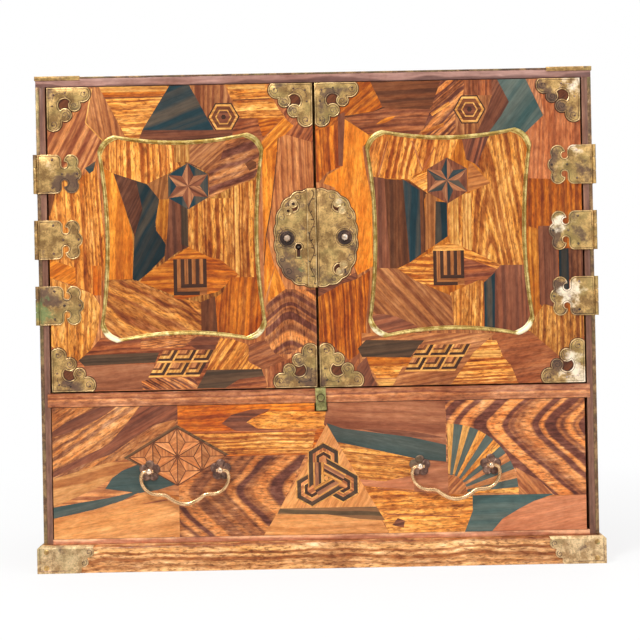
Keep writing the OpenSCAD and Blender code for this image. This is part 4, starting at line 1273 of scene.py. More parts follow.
def flame(wood: Wood, start: Point, end: Point, width: float, **more: Any) -> Patch:
    """Lens of veneer that tapers to both ends of a line.

    Args:
        wood: Its wood.
        start: One tip.
        end: Other tip.
        width: Its largest width.
        **more: Other values of the patch.

    Returns:
        The patch.
    """
    run = Vector(end) - Vector(start)
    out = Vector((-run.y, run.x)).normalized() * width / 2
    shares = [i / 6 for i in range(7)]
    upper = [Vector(start) + run * s + out * math.sin(math.pi * s) for s in shares]
    lower = [Vector(start) + run * s - out * math.sin(math.pi * s) for s in shares[-2:0:-1]]
    return Patch(wood, math.degrees(math.atan2(run.y, run.x)), [tuple(p) for p in upper + lower], **more)


def round_points(centre: Point, radius: float, sides: int, start: float = 90.0) -> list[Point]:
    """Corners of a regular polygon."""
    return arc(centre, radius, (start + 360 * i / sides for i in range(sides)))


def star(centre: Point, radius: float, bright: Wood, dim: Wood, ground: Wood) -> list[Patch]:
    """Six-pointed star of split rays in a hexagon.

    Args:
        centre: Its middle.
        radius: Distance to its points.
        bright: Wood of the lit facets.
        dim: Wood of the other facets.
        ground: Wood behind it.

    Returns:
        The patches.
    """
    tips = round_points(centre, radius, 6)
    notches = round_points(centre, radius * 0.5, 6, 120)
    made = [Patch(ground, 90, tips)]
    for i in range(6):
        grain = 90 + 60 * i
        made.append(Patch(bright, grain, [centre, tips[i], notches[i]]))
        made.append(Patch(dim, grain, [centre, notches[i - 1], tips[i]]))
    return made


def nested_hexagons(centre: Point, radius: float) -> list[Patch]:
    """Hexagons one inside the other, with a corner to the left and to the right.

    Args:
        centre: Their middle.
        radius: Radius of the largest.

    Returns:
        The patches.
    """
    rings = ((Wood.DARK, 1.0), (Wood.PALE, 0.91), (Wood.BROWN, 0.76), (Wood.PALE, 0.52), (Wood.PURPLE, 0.43),
             (Wood.DARK, 0.16))
    return [Patch(wood, 0, round_points(centre, radius * share, 6, 0)) for wood, share in rings]


def nested_corners(x0: float, z0: float, width: float, height: float, pale: Wood, dark: Wood) -> list[Patch]:
    """Square of upright stripes whose outer three turn the lower left corner.

    Args:
        x0: Left edge.
        z0: Lower edge.
        width: Width of the whole.
        height: Height of the whole.
        pale: Wood of the pale bands.
        dark: Wood of the dark bands.

    Returns:
        The patches.
    """
    count, short = 9, 0.78
    pitch = width / count
    x1, z1 = x0 + width, z0 + height
    made = [bar(dark, x0, x1, z0, z1)]
    for i, (wood, reach) in enumerate(((dark, short), (pale, short), (dark, 1.0))):
        low, left = z0 + i * pitch, x0 + i * pitch
        made.append(bar(wood, left, left + pitch, low, z1))
        made.append(bar(wood, left, x0 + width * reach, low, low + pitch, 0))
    made.append(bar(Wood.TAN, x0 + width * short, x1, z0, z0 + 2 * pitch, 0))
    for i in range(3, count):
        made.append(bar(pale if i % 2 else dark, x0 + i * pitch, x0 + (i + 1) * pitch, z0 + 3 * pitch, z1))
    return made


def slanted(origin: Point, u: float, v: float, width: float, height: float, slant: float) -> list[Point]:
    """Corners of a parallelogram that leans by slant for each unit of height.

    Args:
        origin: Zero point of the slanted grid.
        u: Place along it.
        v: Place up it.
        width: Width of the cell.
        height: Height of the cell.
        slant: How far it leans for each unit of height.

    Returns:
        The cell's corners.
    """
    x, z = origin[0] + u + v * slant, origin[1] + v
    lean = height * slant
    return [(x, z), (x + width, z), (x + width + lean, z + height), (x + lean, z + height)]


def lattice(origin: Point) -> list[Patch]:
    """Leaning lattice of two rows, whose cells hold corners nested one in the other.

    Args:
        origin: Its lower left corner.

    Returns:
        The patches.
    """
    line, slant = 1.4, 0.58
    widths, heights = (10.3, 13.4, 12.1), (10.0, 8.8)
    nest = ((Wood.DARK, 0.0, 0.0), (Wood.PALE, 2.5, 1.7), (Wood.BROWN, 4.2, 3.7), (Wood.SALMON, 6.4, 5.0))
    made = []
    for row, height in enumerate(heights):
        for column, width in enumerate(widths):
            u, v = sum(widths[:column]), sum(heights[:row])
            edge = line if column else 0.0
            made.append(Patch(Wood.PALE, 0, slanted(origin, u, v, width, height, slant), 1.2))
            for wood, right, low in nest:
                made.append(Patch(wood, 60, slanted(origin, u + edge, v + line + low, width - edge - right,
                                                    height - line - low, slant)))
    made.append(Patch(Wood.PALE, 60, slanted(origin, sum(widths), heights[0], 0.9, heights[1], slant)))
    return made


def hemp_leaf(centre: Point, half_w: float, half_h: float) -> list[Patch]:
    """Rhombus of hemp leaf pattern, with a dark border along its upper edges.

    Args:
        centre: Its middle.
        half_w: Half its width.
        half_h: Half its height.

    Returns:
        The patches.
    """
    x, z = centre
    corners = [(x, z + half_h), (x - half_w, z), (x, z - half_h), (x + half_w, z)]
    border = [(x, z + half_h + 2.2), (x - half_w - 3.6, z), (x - 0.6 * half_w, z - 0.45 * half_h), (x, z),
              (x + half_w + 2.5, z + 0.5)]
    made = [Patch(Wood.OLIVE, 30, border, 0.85), Patch(Wood.SALMON, 90, corners)]
    right, up = Vector((half_w / 2, half_h / 2)), Vector((-half_w / 2, half_h / 2))
    bottom = Vector((x, z - half_h))
    lines = []
    for i in range(2):
        for j in range(2):
            a = bottom + right * i + up * j
            b, c, d = a + right, a + right + up, a + up
            for k, triangle in enumerate(((a, b, c), (a, c, d))):
                middle = sum(triangle, Vector((0, 0))) / 3
                for n in range(3):
                    first, second = triangle[n], triangle[(n + 1) % 3]
                    tone = (1.3, 1.12, 0.95)[(n + k) % 3] * (0.82 if i and not j and not k else 1)
                    leaf = [tuple(first), tuple(second), tuple(middle)]
                    made.append(Patch(Wood.SALMON, 30 + 60 * n, leaf, tone, contrast=0.4))
                    lines += [(first, second, 0.75), (first, middle, 0.6)]
    made += [streak(Wood.BROWN, tuple(p), tuple(q), w, tone=0.85) for p, q, w in lines]
    return made


def turned(points: Iterable[Point], centre: Point, degrees: float) -> list[Point]:
    """Points drawn round 0, turned and moved to a centre."""
    c, s = math.cos(math.radians(degrees)), math.sin(math.radians(degrees))
    return [(centre[0] + c * x - s * z, centre[1] + s * x + c * z) for x, z in points]


def hexagon_knot(centre: Point, size: float) -> list[Patch]:
    """Three hexagonal loops whose straight arms pass over each other.

    Args:
        centre: Its middle.
        size: Its size.

    Returns:
        The patches.
    """
    bend = (-0.06 * size, 0.48 * size)
    bands = ((Wood.PALE, 0.48), (Wood.SLATE, 0.45), (Wood.SALMON, 0.33), (Wood.PALE, 0.25), (Wood.DARK, 0.22),
             (Wood.SALMON, 0.13))
    stripes = ((Wood.PALE, -0.485, -0.455), (Wood.SLATE, -0.455, -0.34), (Wood.PALE, -0.34, -0.30),
               (Wood.ROSE, -0.30, -0.20), (Wood.DARK, -0.20, -0.13), (Wood.PALE, -0.13, -0.05))
    made = []

    def lay(wood: Wood, corners: Sequence[Point], turn: float) -> None:
        """Adds a patch drawn for the upright loop, turned into its place."""
        tone = 0.8 if wood is Wood.SLATE else 1.08
        made.append(Patch(wood, 90 + turn, turned(corners, centre, turn), tone))

    for turn in (0, 120, 240):
        for wood, radius in bands:
            lay(wood, round_points(bend, radius * size, 6), turn)
    for turn, low in ((0, -0.26), (120, -0.26), (240, -0.26), (0, 0.08)):
        for wood, left, right in stripes:
            corners = ((left, low), (right, low + right - left), (right, 0.42), (left, 0.42))
            lay(wood, [(x * size, z * size) for x, z in corners], turn)
    return made


def fan(apex: Point, radius: float) -> list[Patch]:
    """Quarter fan of pale and teal rays.

    Args:
        apex: Point where its sticks meet.
        radius: Its radius.

    Returns:
        The patches.
    """
    inner = radius * 0.27
    dark_rays = (81, 67.5, 53, 38, 23.4, 8.2)
    half_ray = 3.7
    pale = (Wood.PALE, Wood.PALE, Wood.GOLD, Wood.GOLD, Wood.SALMON, Wood.SALMON, Wood.GOLD)

    def corner(angle: float, reach: float) -> Point:
        """Point of the fan at an angle and a reach."""
        return turned([(reach, 0)], apex, angle)[0]

    edges = [90] + [a + s for a in dark_rays for s in (half_ray, -half_ray)] + [0]
    made = [Patch(Wood.SALMON, 45, [apex, *(corner(angle, inner) for angle in (90, 60, 30, 0))])]
    for i, (first, second) in enumerate(zip(edges, edges[1:])):
        wood = Wood.GREEN if i % 2 else pale[i // 2]
        sharp = inner if i % 2 else inner * 1.06
        outline = [corner(first, sharp), corner(first, radius), corner(second, radius), corner(second, sharp)]
        made.append(Patch(wood, (first + second) / 2, outline, contrast=0.35))
    return made


def recesses(x0: float, x1: float) -> list[Patch]:
    """Painted shade: darker grounds behind the piercings of a door's four corner mounts."""
    places = [(x, z) for x in (x0 + 12, x1 - 12) for z in (139.5, 330)]
    return [Patch(Wood.BROWN, 45, round_points(place, 6.5, 12), 0.85) for place in places]


W = Wood

LEFT_DOOR = [
    bar(W.SALMON, -188, -0.8, 127.4, 342),
    Patch(W.SALMON, 62, [(-188, 342), (-157, 342), (-161, 316), (-148, 303), (-154, 291), (-162, 285),
                         (-163, 280), (-188, 290)], contrast=1.2, band=4),
    Patch(W.GOLD, 0, [(-151, 342), (-101, 342), (-123, 305), (-133, 305), (-141, 322), (-147, 334)]),
    bar(W.PALE, -151, -103, 338, 342, 0),
    bar(W.DEEP, -150, -104, 335, 338, 0),
    streak(W.BROWN, (-148, 334), (-105, 334.3), 0.8),
    Patch(W.SALMON, 100, [(-157, 342), (-151, 342), (-132, 305), (-148, 303), (-161, 317)], 0.9),
    streak(W.PALE, (-156, 341), (-161, 317), 0.8),
    streak(W.PALE, (-161, 317), (-148, 303), 0.8),
    Patch(W.GOLD, 92, [(-188, 290), (-163, 280), (-154, 290), (-148, 225), (-150, 207), (-158, 196),
                       (-170, 202), (-188, 208)], band=3.4),
    Patch(W.TEAL, 0, [(-162, 285), (-154, 290), (-156, 283), (-159, 281)]),
    Patch(W.BROWN, 80, [(-188, 268), (-183, 268), (-187, 252), (-188, 252)]),
    bar(W.DEEP, -158, -152, 195, 216),
    Patch(W.ORANGE, 30, [(-188, 221), (-170, 215), (-170, 202), (-188, 208)]),
    Patch(W.GOLD, 88, [(-188, 208), (-170, 201), (-158, 196), (-153, 188), (-155, 170), (-160, 157),
                       (-172, 147), (-188, 160)], 0.84, contrast=0.7),
    Patch(W.RUSSET, 3, [(-172, 147), (-160, 157), (-153, 165), (-95, 163), (-50, 158), (-37, 130),
                        (-37, 127), (-188, 127), (-188, 147)]),
    Patch(W.CORAL, 6, [(-165, 146), (-116, 146), (-112, 128), (-165, 128)], 0.56, contrast=0.8),
    Patch(W.SLATE, 2, [(-169, 149.5), (-164, 153), (-112, 154), (-115, 147), (-165, 145.5)], 0.9),
    Patch(W.FIGURED, -32, [(-125, 134), (-115, 136), (-88, 136), (-84, 128), (-124, 128)], band=2.4),
    Patch(W.PURPLE, 0, [(-92, 160), (-85, 165), (-69, 164), (-73, 156), (-80, 152)]),
    Patch(W.FIGURED, 5, [(-125, 164), (-125, 157), (-95, 157), (-87, 165)], 0.95, band=2.4, contrast=0.8),
    Patch(W.GOLD, 55, [(-79, 141), (-69, 163), (-62, 163), (-51, 159), (-49, 157), (-49, 146), (-40, 141)]),
    Patch(W.SLATE, 4, [(-86, 128), (-78.5, 141), (-40, 141), (-36, 128)], 1.15),
    Patch(W.RUSSET, 4, [(-66, 128), (-56, 134), (-38, 136), (-36, 128)], 0.9),
    Patch(W.RUSSET, 20, [(-49, 158), (-34, 163), (-31, 156), (-27, 150), (-22, 147), (-35, 141), (-40, 141),
                         (-49, 147)], 0.7),
    Patch(W.RUSSET, 90, [(-36, 142), (-22, 147), (-14, 152), (-2, 152), (-2, 128), (-36, 128)], 0.86),
    Patch(W.FIGURED, 92, [(-36, 186), (-20, 199), (-0.8, 197), (-0.8, 156), (-12, 156), (-20, 151),
                          (-30, 151), (-37, 161)], arch=1.3, band=9, contrast=1.35),
    Patch(W.GOLD, 90, [(-35, 190), (-29, 213), (-23, 206), (-22, 197)]),
    Patch(W.ORANGE, 100, [(-29, 214), (-23, 206), (-22, 197), (-35, 188), (-33, 199)]),
    Patch(W.SALMON, 92, [(-35, 235), (-31, 255), (-27, 285), (-25, 306), (-8, 309), (-0.8, 306), (-0.8, 196),
                         (-22, 197), (-29, 214)], 1.08),
    Patch(W.ORANGE, 90, [(-37, 300), (-37, 190), (-29.5, 213), (-35, 235), (-31, 255), (-27, 285),
                         (-25, 306)]),
    streak(W.BROWN, (-25, 306), (-27, 285), 0.8),
    streak(W.BROWN, (-27, 285), (-31, 255), 0.8),
    streak(W.BROWN, (-31, 255), (-35, 235), 0.8),
    streak(W.BROWN, (-35, 235), (-37, 214), 0.8),
    Patch(W.RUSSET, 60, [(-14, 312), (-20, 306), (-0.8, 300), (-0.8, 342), (-30, 342), (-20, 318)], 0.95),
    Patch(W.ORANGE, 45, [(-37, 301), (-21, 318), (-14, 312), (-20, 306), (-26, 303), (-26, 294), (-36, 296)]),
    Patch(W.RUSSET, 10, [(-60, 318), (-21, 318), (-38, 301), (-46, 304), (-60, 305)], 0.9),
    Patch(W.DEEP, 10, [(-40, 318), (-21, 318), (-36, 304)], 0.8),
    Patch(W.GOLD, 2, [(-62, 342), (-33, 342), (-29, 332), (-25, 325), (-20, 318), (-51, 318), (-55, 322),
                      (-57, 330)]),
    bar(W.PALE, -60, -34, 338.5, 342, 0),
    streak(W.BROWN, (-57, 331), (-31, 331.5), 0.8),
    Patch(W.SALMON, 88, [(-87.5, 342), (-62, 342), (-55, 322), (-60, 309), (-71, 309), (-75, 318),
                         (-80, 328)], 0.8, contrast=1.1, band=5),
    *nested_hexagons((-63.5, 319.2), 11.4),
    Patch(W.TEAL, 20, [(-101.3, 342), (-87.3, 342), (-70, 309.5), (-121, 311)], 1.1),
    Patch(W.PURPLE, 2, [(-121, 311), (-70, 310), (-57, 310), (-58, 303), (-124, 303)], 0.78),
    *lattice((-120, 136.5)),
    *recesses(-188, -0.8),
    # Painted shade: a darker disc behind the lock plate's piercing, and a dark bar behind the keyhole's slot.
    Patch(W.BROWN, 0, round_points((-15.9, 255.1), 5.5, 12), 0.8),
    bar(W.DARK, -14.5, -10, 218, 226.5),
]

LEFT_PANEL = [
    bar(W.GOLD, -156, -33, 158, 310, tone=0.5),
    Patch(W.ORANGE, 88, [(-152, 286), (-141, 281), (-130, 240), (-129, 233), (-130, 206), (-152, 206)],
          band=5),
    Patch(W.GOLD, 90, [(-154, 290), (-143, 310), (-99, 310), (-99, 291), (-95, 285), (-104, 280), (-118, 273),
                       (-143, 281)], contrast=1.15, band=3.2, tone=1.05),
    Patch(W.TEAL, 60, [(-142, 281), (-119, 273), (-109, 264), (-110, 251), (-113, 243), (-106, 230),
                       (-107, 222), (-118, 211), (-127, 204), (-130, 206), (-128, 236)], 0.5),
    Patch(W.PURPLE, 62, [(-142, 281), (-126, 275), (-122, 255), (-126, 243), (-128, 236)], 0.5),
    Patch(W.TAN, 80, [(-118.5, 273), (-104, 280), (-103.5, 262), (-108.5, 260)], 0.85),
    Patch(W.ORANGE, 85, [(-110, 262), (-103, 262), (-105, 234), (-107.5, 233), (-112.5, 240),
                         (-113, 246)], 0.6),
    Patch(W.PURPLE, 90, [(-103, 263), (-90, 258), (-90, 228), (-97, 225), (-107, 218), (-105, 236)], 0.62),
    Patch(W.SLATE, 90, [(-94.5, 258), (-90, 257), (-90, 228), (-95, 230)], 0.75),
    Patch(W.GOLD, 90, [(-90, 257), (-75, 262), (-60, 262), (-58, 271), (-40, 275), (-38, 206), (-60, 205),
                       (-77, 219), (-90, 228)], 0.82, contrast=1.2, band=3.0),
    bar(W.PALE, -57, -54.5, 208, 271),
    Patch(W.GOLD, 100, [(-38, 300), (-40, 275), (-38, 206), (-33, 206), (-33, 300)], 0.9),
    Patch(W.FIGURED, 20, [(-88, 302), (-38, 310), (-36, 290), (-43, 275), (-58, 270), (-75, 262),
                          (-74.5, 280), (-89, 287)], 0.9, band=9),
    Patch(W.SALMON, 40, [(-88, 310), (-60, 310), (-66, 290), (-76, 281), (-89, 288)], 0.68),
    Patch(W.BROWN, 30, [(-49, 286), (-45, 289), (-41, 287), (-41, 283), (-46, 281)], 0.8),
    bar(W.PALE, -99, -88, 288, 303, tone=0.78, contrast=1.1),
    *star((-89.5, 271), 16.3, W.ROSE, W.PURPLE, W.TEAL),
    Patch(W.ORANGE, 2, [(-118, 211), (-101, 221), (-90, 228), (-76, 221), (-76, 219), (-101, 194),
                        (-125, 204)], 0.86, contrast=1.1),
    Patch(W.DEEP, -4, [(-78, 221), (-68, 219), (-55, 208), (-70, 196), (-101, 190), (-101, 194), (-78, 196)],
          0.9, contrast=0.9),
    Patch(W.BURL, -30, [(-152, 206), (-127, 205), (-100, 192), (-81, 189), (-81, 158), (-152, 158)], band=6),
    Patch(W.DEEP, 85, [(-61, 206), (-37, 206), (-36, 160), (-60, 160), (-78, 168), (-74, 190),
                       (-66, 196)], 0.82),
    Patch(W.BROWN, 88, [(-82, 189), (-72, 193), (-70, 160), (-82, 160)], 0.9),
    *nested_corners(-101, 194, 23.5, 25.5, W.TAN, W.DARK),
]

RIGHT_DOOR = [
    bar(W.SALMON, 1, 188, 127.4, 342, tone=0.84),
    Patch(W.BROWN, 3, [(40, 342), (90, 342), (89, 331), (82, 322), (84, 318), (75, 306), (72, 302), (38, 301),
                       (24, 317), (20, 318), (48, 323)]),
    Patch(W.RUSSET, 3, [(24, 317), (48, 323), (82, 322), (84, 318), (75, 306), (72, 302), (38, 301)], 0.78),
    flame(W.ORANGE, (44, 312), (58, 317.5), 3.0),
    flame(W.ORANGE, (38, 305), (64, 304.5), 3.4),
    flame(W.DARK, (30, 319.5), (51, 324), 2.4),
    Patch(W.DEEP, 40, [(1, 342), (40.5, 342), (47, 328), (48.5, 324), (42, 321), (20, 318), (14, 312),
                       (1, 308)], 0.8),
    Patch(W.FIGURED, 40, [(90, 342), (107, 342), (106, 333), (100, 321), (100, 302), (75, 302), (82, 320)],
          band=3.6),
    streak(W.GOLD, (83, 318), (96, 326), 2.4),
    streak(W.GOLD, (76, 305), (92, 311), 2.4),
    Patch(W.SALMON, 90, [(100, 302), (151, 303), (126, 331), (106, 333)], 0.66),
    Patch(W.RUSSET, 90, [(106, 332), (107, 342), (117, 342), (116, 331)], 0.75),
    Patch(W.RUSSET, 90, [(117, 342), (127, 342), (126, 331), (116, 331)], 1.0),
    Patch(W.PURPLE, 60, [(126, 342), (150, 342), (162, 316), (151, 303), (114, 303), (119, 313), (123, 322),
                         (126, 331)], 0.9, contrast=0.9),
    Patch(W.GREEN, 50, [(130, 342), (150, 342), (162, 316), (151, 303), (122, 303), (132, 316),
                        (138, 326)], 0.9),
    *nested_hexagons((110, 321.2), 11.5),
    Patch(W.ROSE, 80, [(150, 342), (157, 342), (163, 318), (162.5, 316)], 1.3),
    Patch(W.RUSSET, 88, [(157, 342), (188, 342), (188, 262), (165, 262), (150, 270), (148, 303), (163, 317)],
          1.08, contrast=0.5),
    Patch(W.DEEP, 90, [(148, 272), (188, 270), (188, 172), (160, 182), (152, 172), (148, 166)], 0.72),
    Patch(W.PURPLE, 90, [(157, 238), (170, 238), (171, 181), (160, 180), (156, 184)], 0.82),
    Patch(W.ORANGE, 90, [(150, 238), (157, 236), (157, 172), (150, 168)], 0.64, contrast=0.9),
    bar(W.TEAL, 171, 178, 193, 222, tone=0.42),
    bar(W.RUSSET, 178, 188, 200, 222, tone=0.36),
    Patch(W.GOLD, 88, [(148, 165), (152, 172), (160, 183), (188, 174), (188, 160), (176, 151), (168, 145),
                       (160, 152)], 0.66),
    Patch(W.RUSSET, 10, [(122, 163), (150, 164), (170, 146), (188, 160), (188, 127), (141, 127), (131, 143)],
          0.85, contrast=0.4),
    Patch(W.GOLD, 2, [(106, 159), (126, 158), (130, 147), (136, 140), (141, 127), (93, 127), (103, 143)],
          contrast=1.2, band=2.2),
    bar(W.PALE, 106, 129, 146, 151, 0),
    Patch(W.DEEP, 92, [(1, 308), (14, 312), (18, 316), (22, 320), (20, 283), (9, 279), (1, 270)], 0.92,
          contrast=1.1),
    Patch(W.PURPLE, 90, [(17, 319), (22, 321), (22, 300), (20, 283), (17, 283)]),
    Patch(W.ORANGE, 85, [(22, 316), (41, 303), (34, 296), (36, 280), (40, 258), (40, 212), (29, 206),
                         (26, 214), (28, 228), (14, 268), (6, 271), (9, 277), (20, 283)], 1.18, band=6,
          contrast=0.55),
    Patch(W.SALMON, 92, [(1, 272), (6, 271), (14, 268), (28, 228), (26, 214), (28, 204), (1, 200)], 0.95),
    Patch(W.PURPLE, -20, [(1, 199), (20, 204), (28, 208), (28, 200), (10, 194), (1, 190)]),
    Patch(W.DEEP, 92, [(28, 203), (38, 209), (36, 190), (34, 170), (35, 160), (28, 150), (22, 146),
                       (10, 157), (1, 160), (1, 191), (18, 200)], 0.82, contrast=1.15, band=2.4),
    Patch(W.RUSSET, 60, [(1, 160), (10, 157), (22, 146), (28, 150), (31, 128), (1, 128)], 0.8),
    Patch(W.SALMON, 10, [(31, 165), (125, 163), (110, 150), (93, 127), (31, 127)], 0.9),
    Patch(W.SLATE, 5, [(28, 154), (34, 160), (75, 159), (68, 151), (65, 147), (31, 148)]),
    Patch(W.DEEP, 2, [(34, 148), (66, 147), (63, 141), (36, 141)], 0.8),
    Patch(W.GOLD, 0, [(36, 141.5), (60, 141.5), (55, 133), (41, 133)]),
    Patch(W.PALE, 0, [(40, 132), (55, 132), (52, 127), (43, 127)]),
    Patch(W.PURPLE, 60, [(27, 141), (34, 148), (38, 135), (42, 127), (31, 127)], 1.0),
    *lattice((60.6, 137)),
    *recesses(1, 188),
    # Painted shade: darker discs behind the lock plate's piercings.
    *(Patch(W.BROWN, 0, round_points((16.1, z), 5.5, 12), 0.8) for z in (255.1, 210.3)),
]

RIGHT_PANEL = [
    bar(W.ORANGE, 33, 156, 158, 310, tone=0.72),
    Patch(W.GOLD, 78, [(33, 310), (105, 310), (97, 287), (81, 281), (66, 273), (44, 274), (33, 276)],
          contrast=1.1, tone=1.05, band=4.5),
    streak(W.RUSSET, (69, 300), (76, 279), 0.9),
    streak(W.RUSSET, (76, 279), (85, 295), 0.9),
    streak(W.RUSSET, (52, 300), (45, 276), 1.1),
    Patch(W.BROWN, 90, [(36, 277), (44, 274), (66, 272), (79, 263), (77, 258), (78, 222), (66, 214),
                        (57, 210), (36, 210)], 0.76),
    Patch(W.PURPLE, 90, [(36, 276), (49, 274), (52, 210), (36, 210)], 0.95),
    Patch(W.TEAL, 88, [(62, 273), (74, 265), (74, 220), (66, 214)], 0.9),
    Patch(W.GOLD, 20, [(66, 273), (80, 278), (79, 263)], 1.1),
    Patch(W.TAN, 90, [(78, 262), (86, 266), (86, 227), (77, 222)], 0.94),
    Patch(W.TEAL, 90, [(85, 257), (93, 256), (93, 232), (84, 226)], 0.6),
    Patch(W.PURPLE, 75, [(103, 310), (128, 310), (126, 283), (122, 274), (113, 283), (107, 286)],
          1.3, contrast=1.1),
    Patch(W.GOLD, 92, [(127, 310), (145, 310), (150, 280), (148, 211), (131, 209), (110, 218), (93, 230),
                       (94, 258), (108, 262), (123, 269), (115, 283)], 0.82, arch=0.12, band=3,
          contrast=0.9),
    Patch(W.TAN, 10, [(110, 284), (124, 269), (108, 263), (108.5, 280)], 1.25),
    bar(W.PALE, 95, 101, 226, 258, tone=0.98),
    bar(W.PALE, 104, 110, 222, 262, tone=0.98),
    *star((93.5, 271.5), 16.3, W.TEAL, W.ROSE, W.PURPLE),
    Patch(W.GOLD, -2, [(50, 206), (68, 215), (83, 222), (93, 228), (104, 224), (104, 198), (75, 196)],
          contrast=1.2, band=2.4),
    Patch(W.RUSSET, 4, [(104, 224), (131, 211), (120, 201), (104, 197)], contrast=1.1),
    Patch(W.GOLD, -12, [(104, 224), (131, 211), (129, 208), (104, 217)]),
    Patch(W.PURPLE, 90, [(130, 211), (150, 211), (152, 190), (154, 158), (118, 158), (118, 199)], 1.1),
    Patch(W.TEAL, 90, [(118, 199), (126, 206), (125, 158), (118, 158)], 0.9),
    Patch(W.GOLD, 88, [(94, 192), (115, 201), (118, 199), (117, 158), (97, 158)], 0.84),
    Patch(W.SALMON, -48, [(36, 211), (57, 210), (70, 201), (95, 190), (97, 158), (40, 158)], 0.7,
          band=4, contrast=0.8),
    Patch(W.PURPLE, 12, [(36, 178), (47, 178), (56, 176), (71, 169), (60, 158), (36, 158)], 1.4),
    *nested_corners(82.5, 197.5, 21.8, 24.5, W.TAN, W.DARK),
    Patch(W.PALE, 0, [(82, 222), (105, 222), (102.5, 225.5), (84.5, 225.5)], 1.25),
]

DRAWER = [
    bar(W.SALMON, -188.7, 187.2, 23.5, 116.2, 0),
    Patch(W.FIGURED, 32, [(-189, 117), (-100, 117), (-100, 101), (-135, 79), (-150, 77), (-189, 66)],
          0.8, band=5, contrast=0.75),
    flame(W.PURPLE, (-196, 94), (-138, 120), 9),
    Patch(W.PURPLE, 30, [(-189, 71), (-166, 82), (-150, 89), (-137, 103), (-126, 117), (-100, 117),
                         (-100, 107), (-116, 103), (-131, 94), (-147, 83), (-165, 77), (-189, 67)], 1.2),
    Patch(W.PEACH, 12, [(-189, 66), (-150, 77), (-130, 77), (-140, 71), (-158, 59), (-189, 46)], 0.76,
          contrast=0.9),
    Patch(W.GREEN, 2, [(-140, 71), (-127, 76), (-101, 61), (-115, 57), (-128, 55), (-152, 58.5), (-147, 66)],
          0.7),
    Patch(W.GREEN, 14, [(-189, 46), (-170, 49), (-150, 52), (-124, 57.5), (-140, 50), (-160, 44), (-189, 38)],
          0.6),
    Patch(W.PEACH, 10, [(-189, 38), (-160, 43.5), (-123, 55), (-100, 52), (-100, 23), (-189, 23)]),
    flame(W.RUSSET, (-128, 47), (-101, 51), 1.0),
    Patch(W.DEEP, 2, [(-100, 117), (6, 117), (5, 101), (-7, 80), (-65, 80), (-100, 101)], 1.06),
    Patch(W.PURPLE, 0, [(-69, 103), (-62, 109), (-48, 112.5), (-34, 112.8), (-46, 107), (-51, 104), (-44, 99),
                        (-20, 97), (-40, 95.5), (-60, 98)], 1.0),
    Patch(W.GOLD, 0, [(-51.4, 103.6), (-44, 107.5), (-35, 111.3), (4.6, 110), (4.6, 98), (-20, 97.5),
                      (-43, 99)], 1.12, contrast=0.5),
    Patch(W.GOLD, 0, [(-90, 96), (-3, 96), (-6, 81), (-66, 81)], contrast=1.1, band=2.2),
    streak(W.RUSSET, (-92, 97), (-2, 97.3), 0.9),
    Patch(W.FIGURED, 0, [(-66, 80), (-10, 80), (-19, 62), (-29, 42), (-41, 23), (-100, 23), (-100, 60)],
          0.86, arch=-0.9, band=10, contrast=1.0, heart=(-66, 55)),
    *hemp_leaf((-100.7, 80.2), 34.5, 20.3),
    Patch(W.CORAL, -4, [(6, 117), (89, 117), (89, 72), (65, 76), (13, 88), (3, 101)], 0.64, contrast=0.9),
    flame(W.PURPLE, (30, 97), (89, 90), 4),
    Patch(W.GREEN, -12, [(5, 102), (16, 98), (36, 95), (64, 91), (89, 85), (89, 73), (65, 76), (45, 81),
                         (12, 88.5)], 0.7, band=20),
    Patch(W.GOLD, -6, [(12, 88.5), (45, 81), (66, 76), (66, 62), (30, 57), (20, 75)], 0.88, band=2.6),
    Patch(W.CORAL, 4, [(30, 57.5), (27, 62), (45, 60), (66, 64), (66, 52)], 0.9),
    Patch(W.GOLD, 2, [(30, 57), (80, 52), (107, 48), (107, 23), (48, 23), (39, 42)], 1.15, contrast=0.7),
    streak(W.RUSSET, (40, 55), (92, 50), 0.8),
    streak(W.RUSSET, (46, 37), (98, 34), 0.8),
    Patch(W.PURPLE, 10, [(50, 29), (54, 34), (59, 32), (58, 27)], 1.0),
    Patch(W.CORAL, 0, [(66, 75), (90, 72), (90, 50), (66, 53)], 0.74),
    Patch(W.PEACH, 62, [(5, 101), (-7, 80), (-29, 42.3), (39, 42.3), (20, 75)]),
    Patch(W.PEACH, 0, [(-31, 39), (39, 39), (48, 23), (-41, 23)], 0.96),
    Patch(W.OLIVE, -3, [(-29, 42.3), (39, 42.3), (45, 32.5), (26, 34), (4, 37.5), (-31, 38.2)], 1.2),
    Patch(W.FIGURED, 0, [(89, 117), (188, 117), (188, 48), (140, 48), (90, 72)], 1.12, arch=-0.92, band=9.5,
          heart=(135, 97.5)),
    Patch(W.SALMON, -50, [(138, 68), (155, 58), (165, 48), (140, 48)], 1.1),
    Patch(W.CORAL, 10, [(120, 23), (188, 23), (188, 48), (160, 47), (140, 41), (125, 33)], 1.08),
    Patch(W.GREEN, 0, [(107, 49), (165, 49), (150, 44), (140, 39), (128, 32), (120, 23), (101, 23),
                       (107, 38)], 1.1),
    *fan((90.2, 50.4), 49.5),
    *hexagon_knot((4.0, 63.2), 26.5),
]


def within(place: Vector, outline: Sequence[Point]) -> bool:
    """Whether a place lies inside an outline.

    Args:
        place: Point to test.
        outline: Closed outline.

    Returns:
        Whether it lies inside.
    """
    inside = False
    for (x0, z0), (x1, z1) in zip(outline, (*outline[1:], outline[0])):
        if (z0 > place.y) != (z1 > place.y) and place.x < x0 + (place.y - z0) * (x1 - x0) / (z1 - z0):
            inside = not inside
    return inside


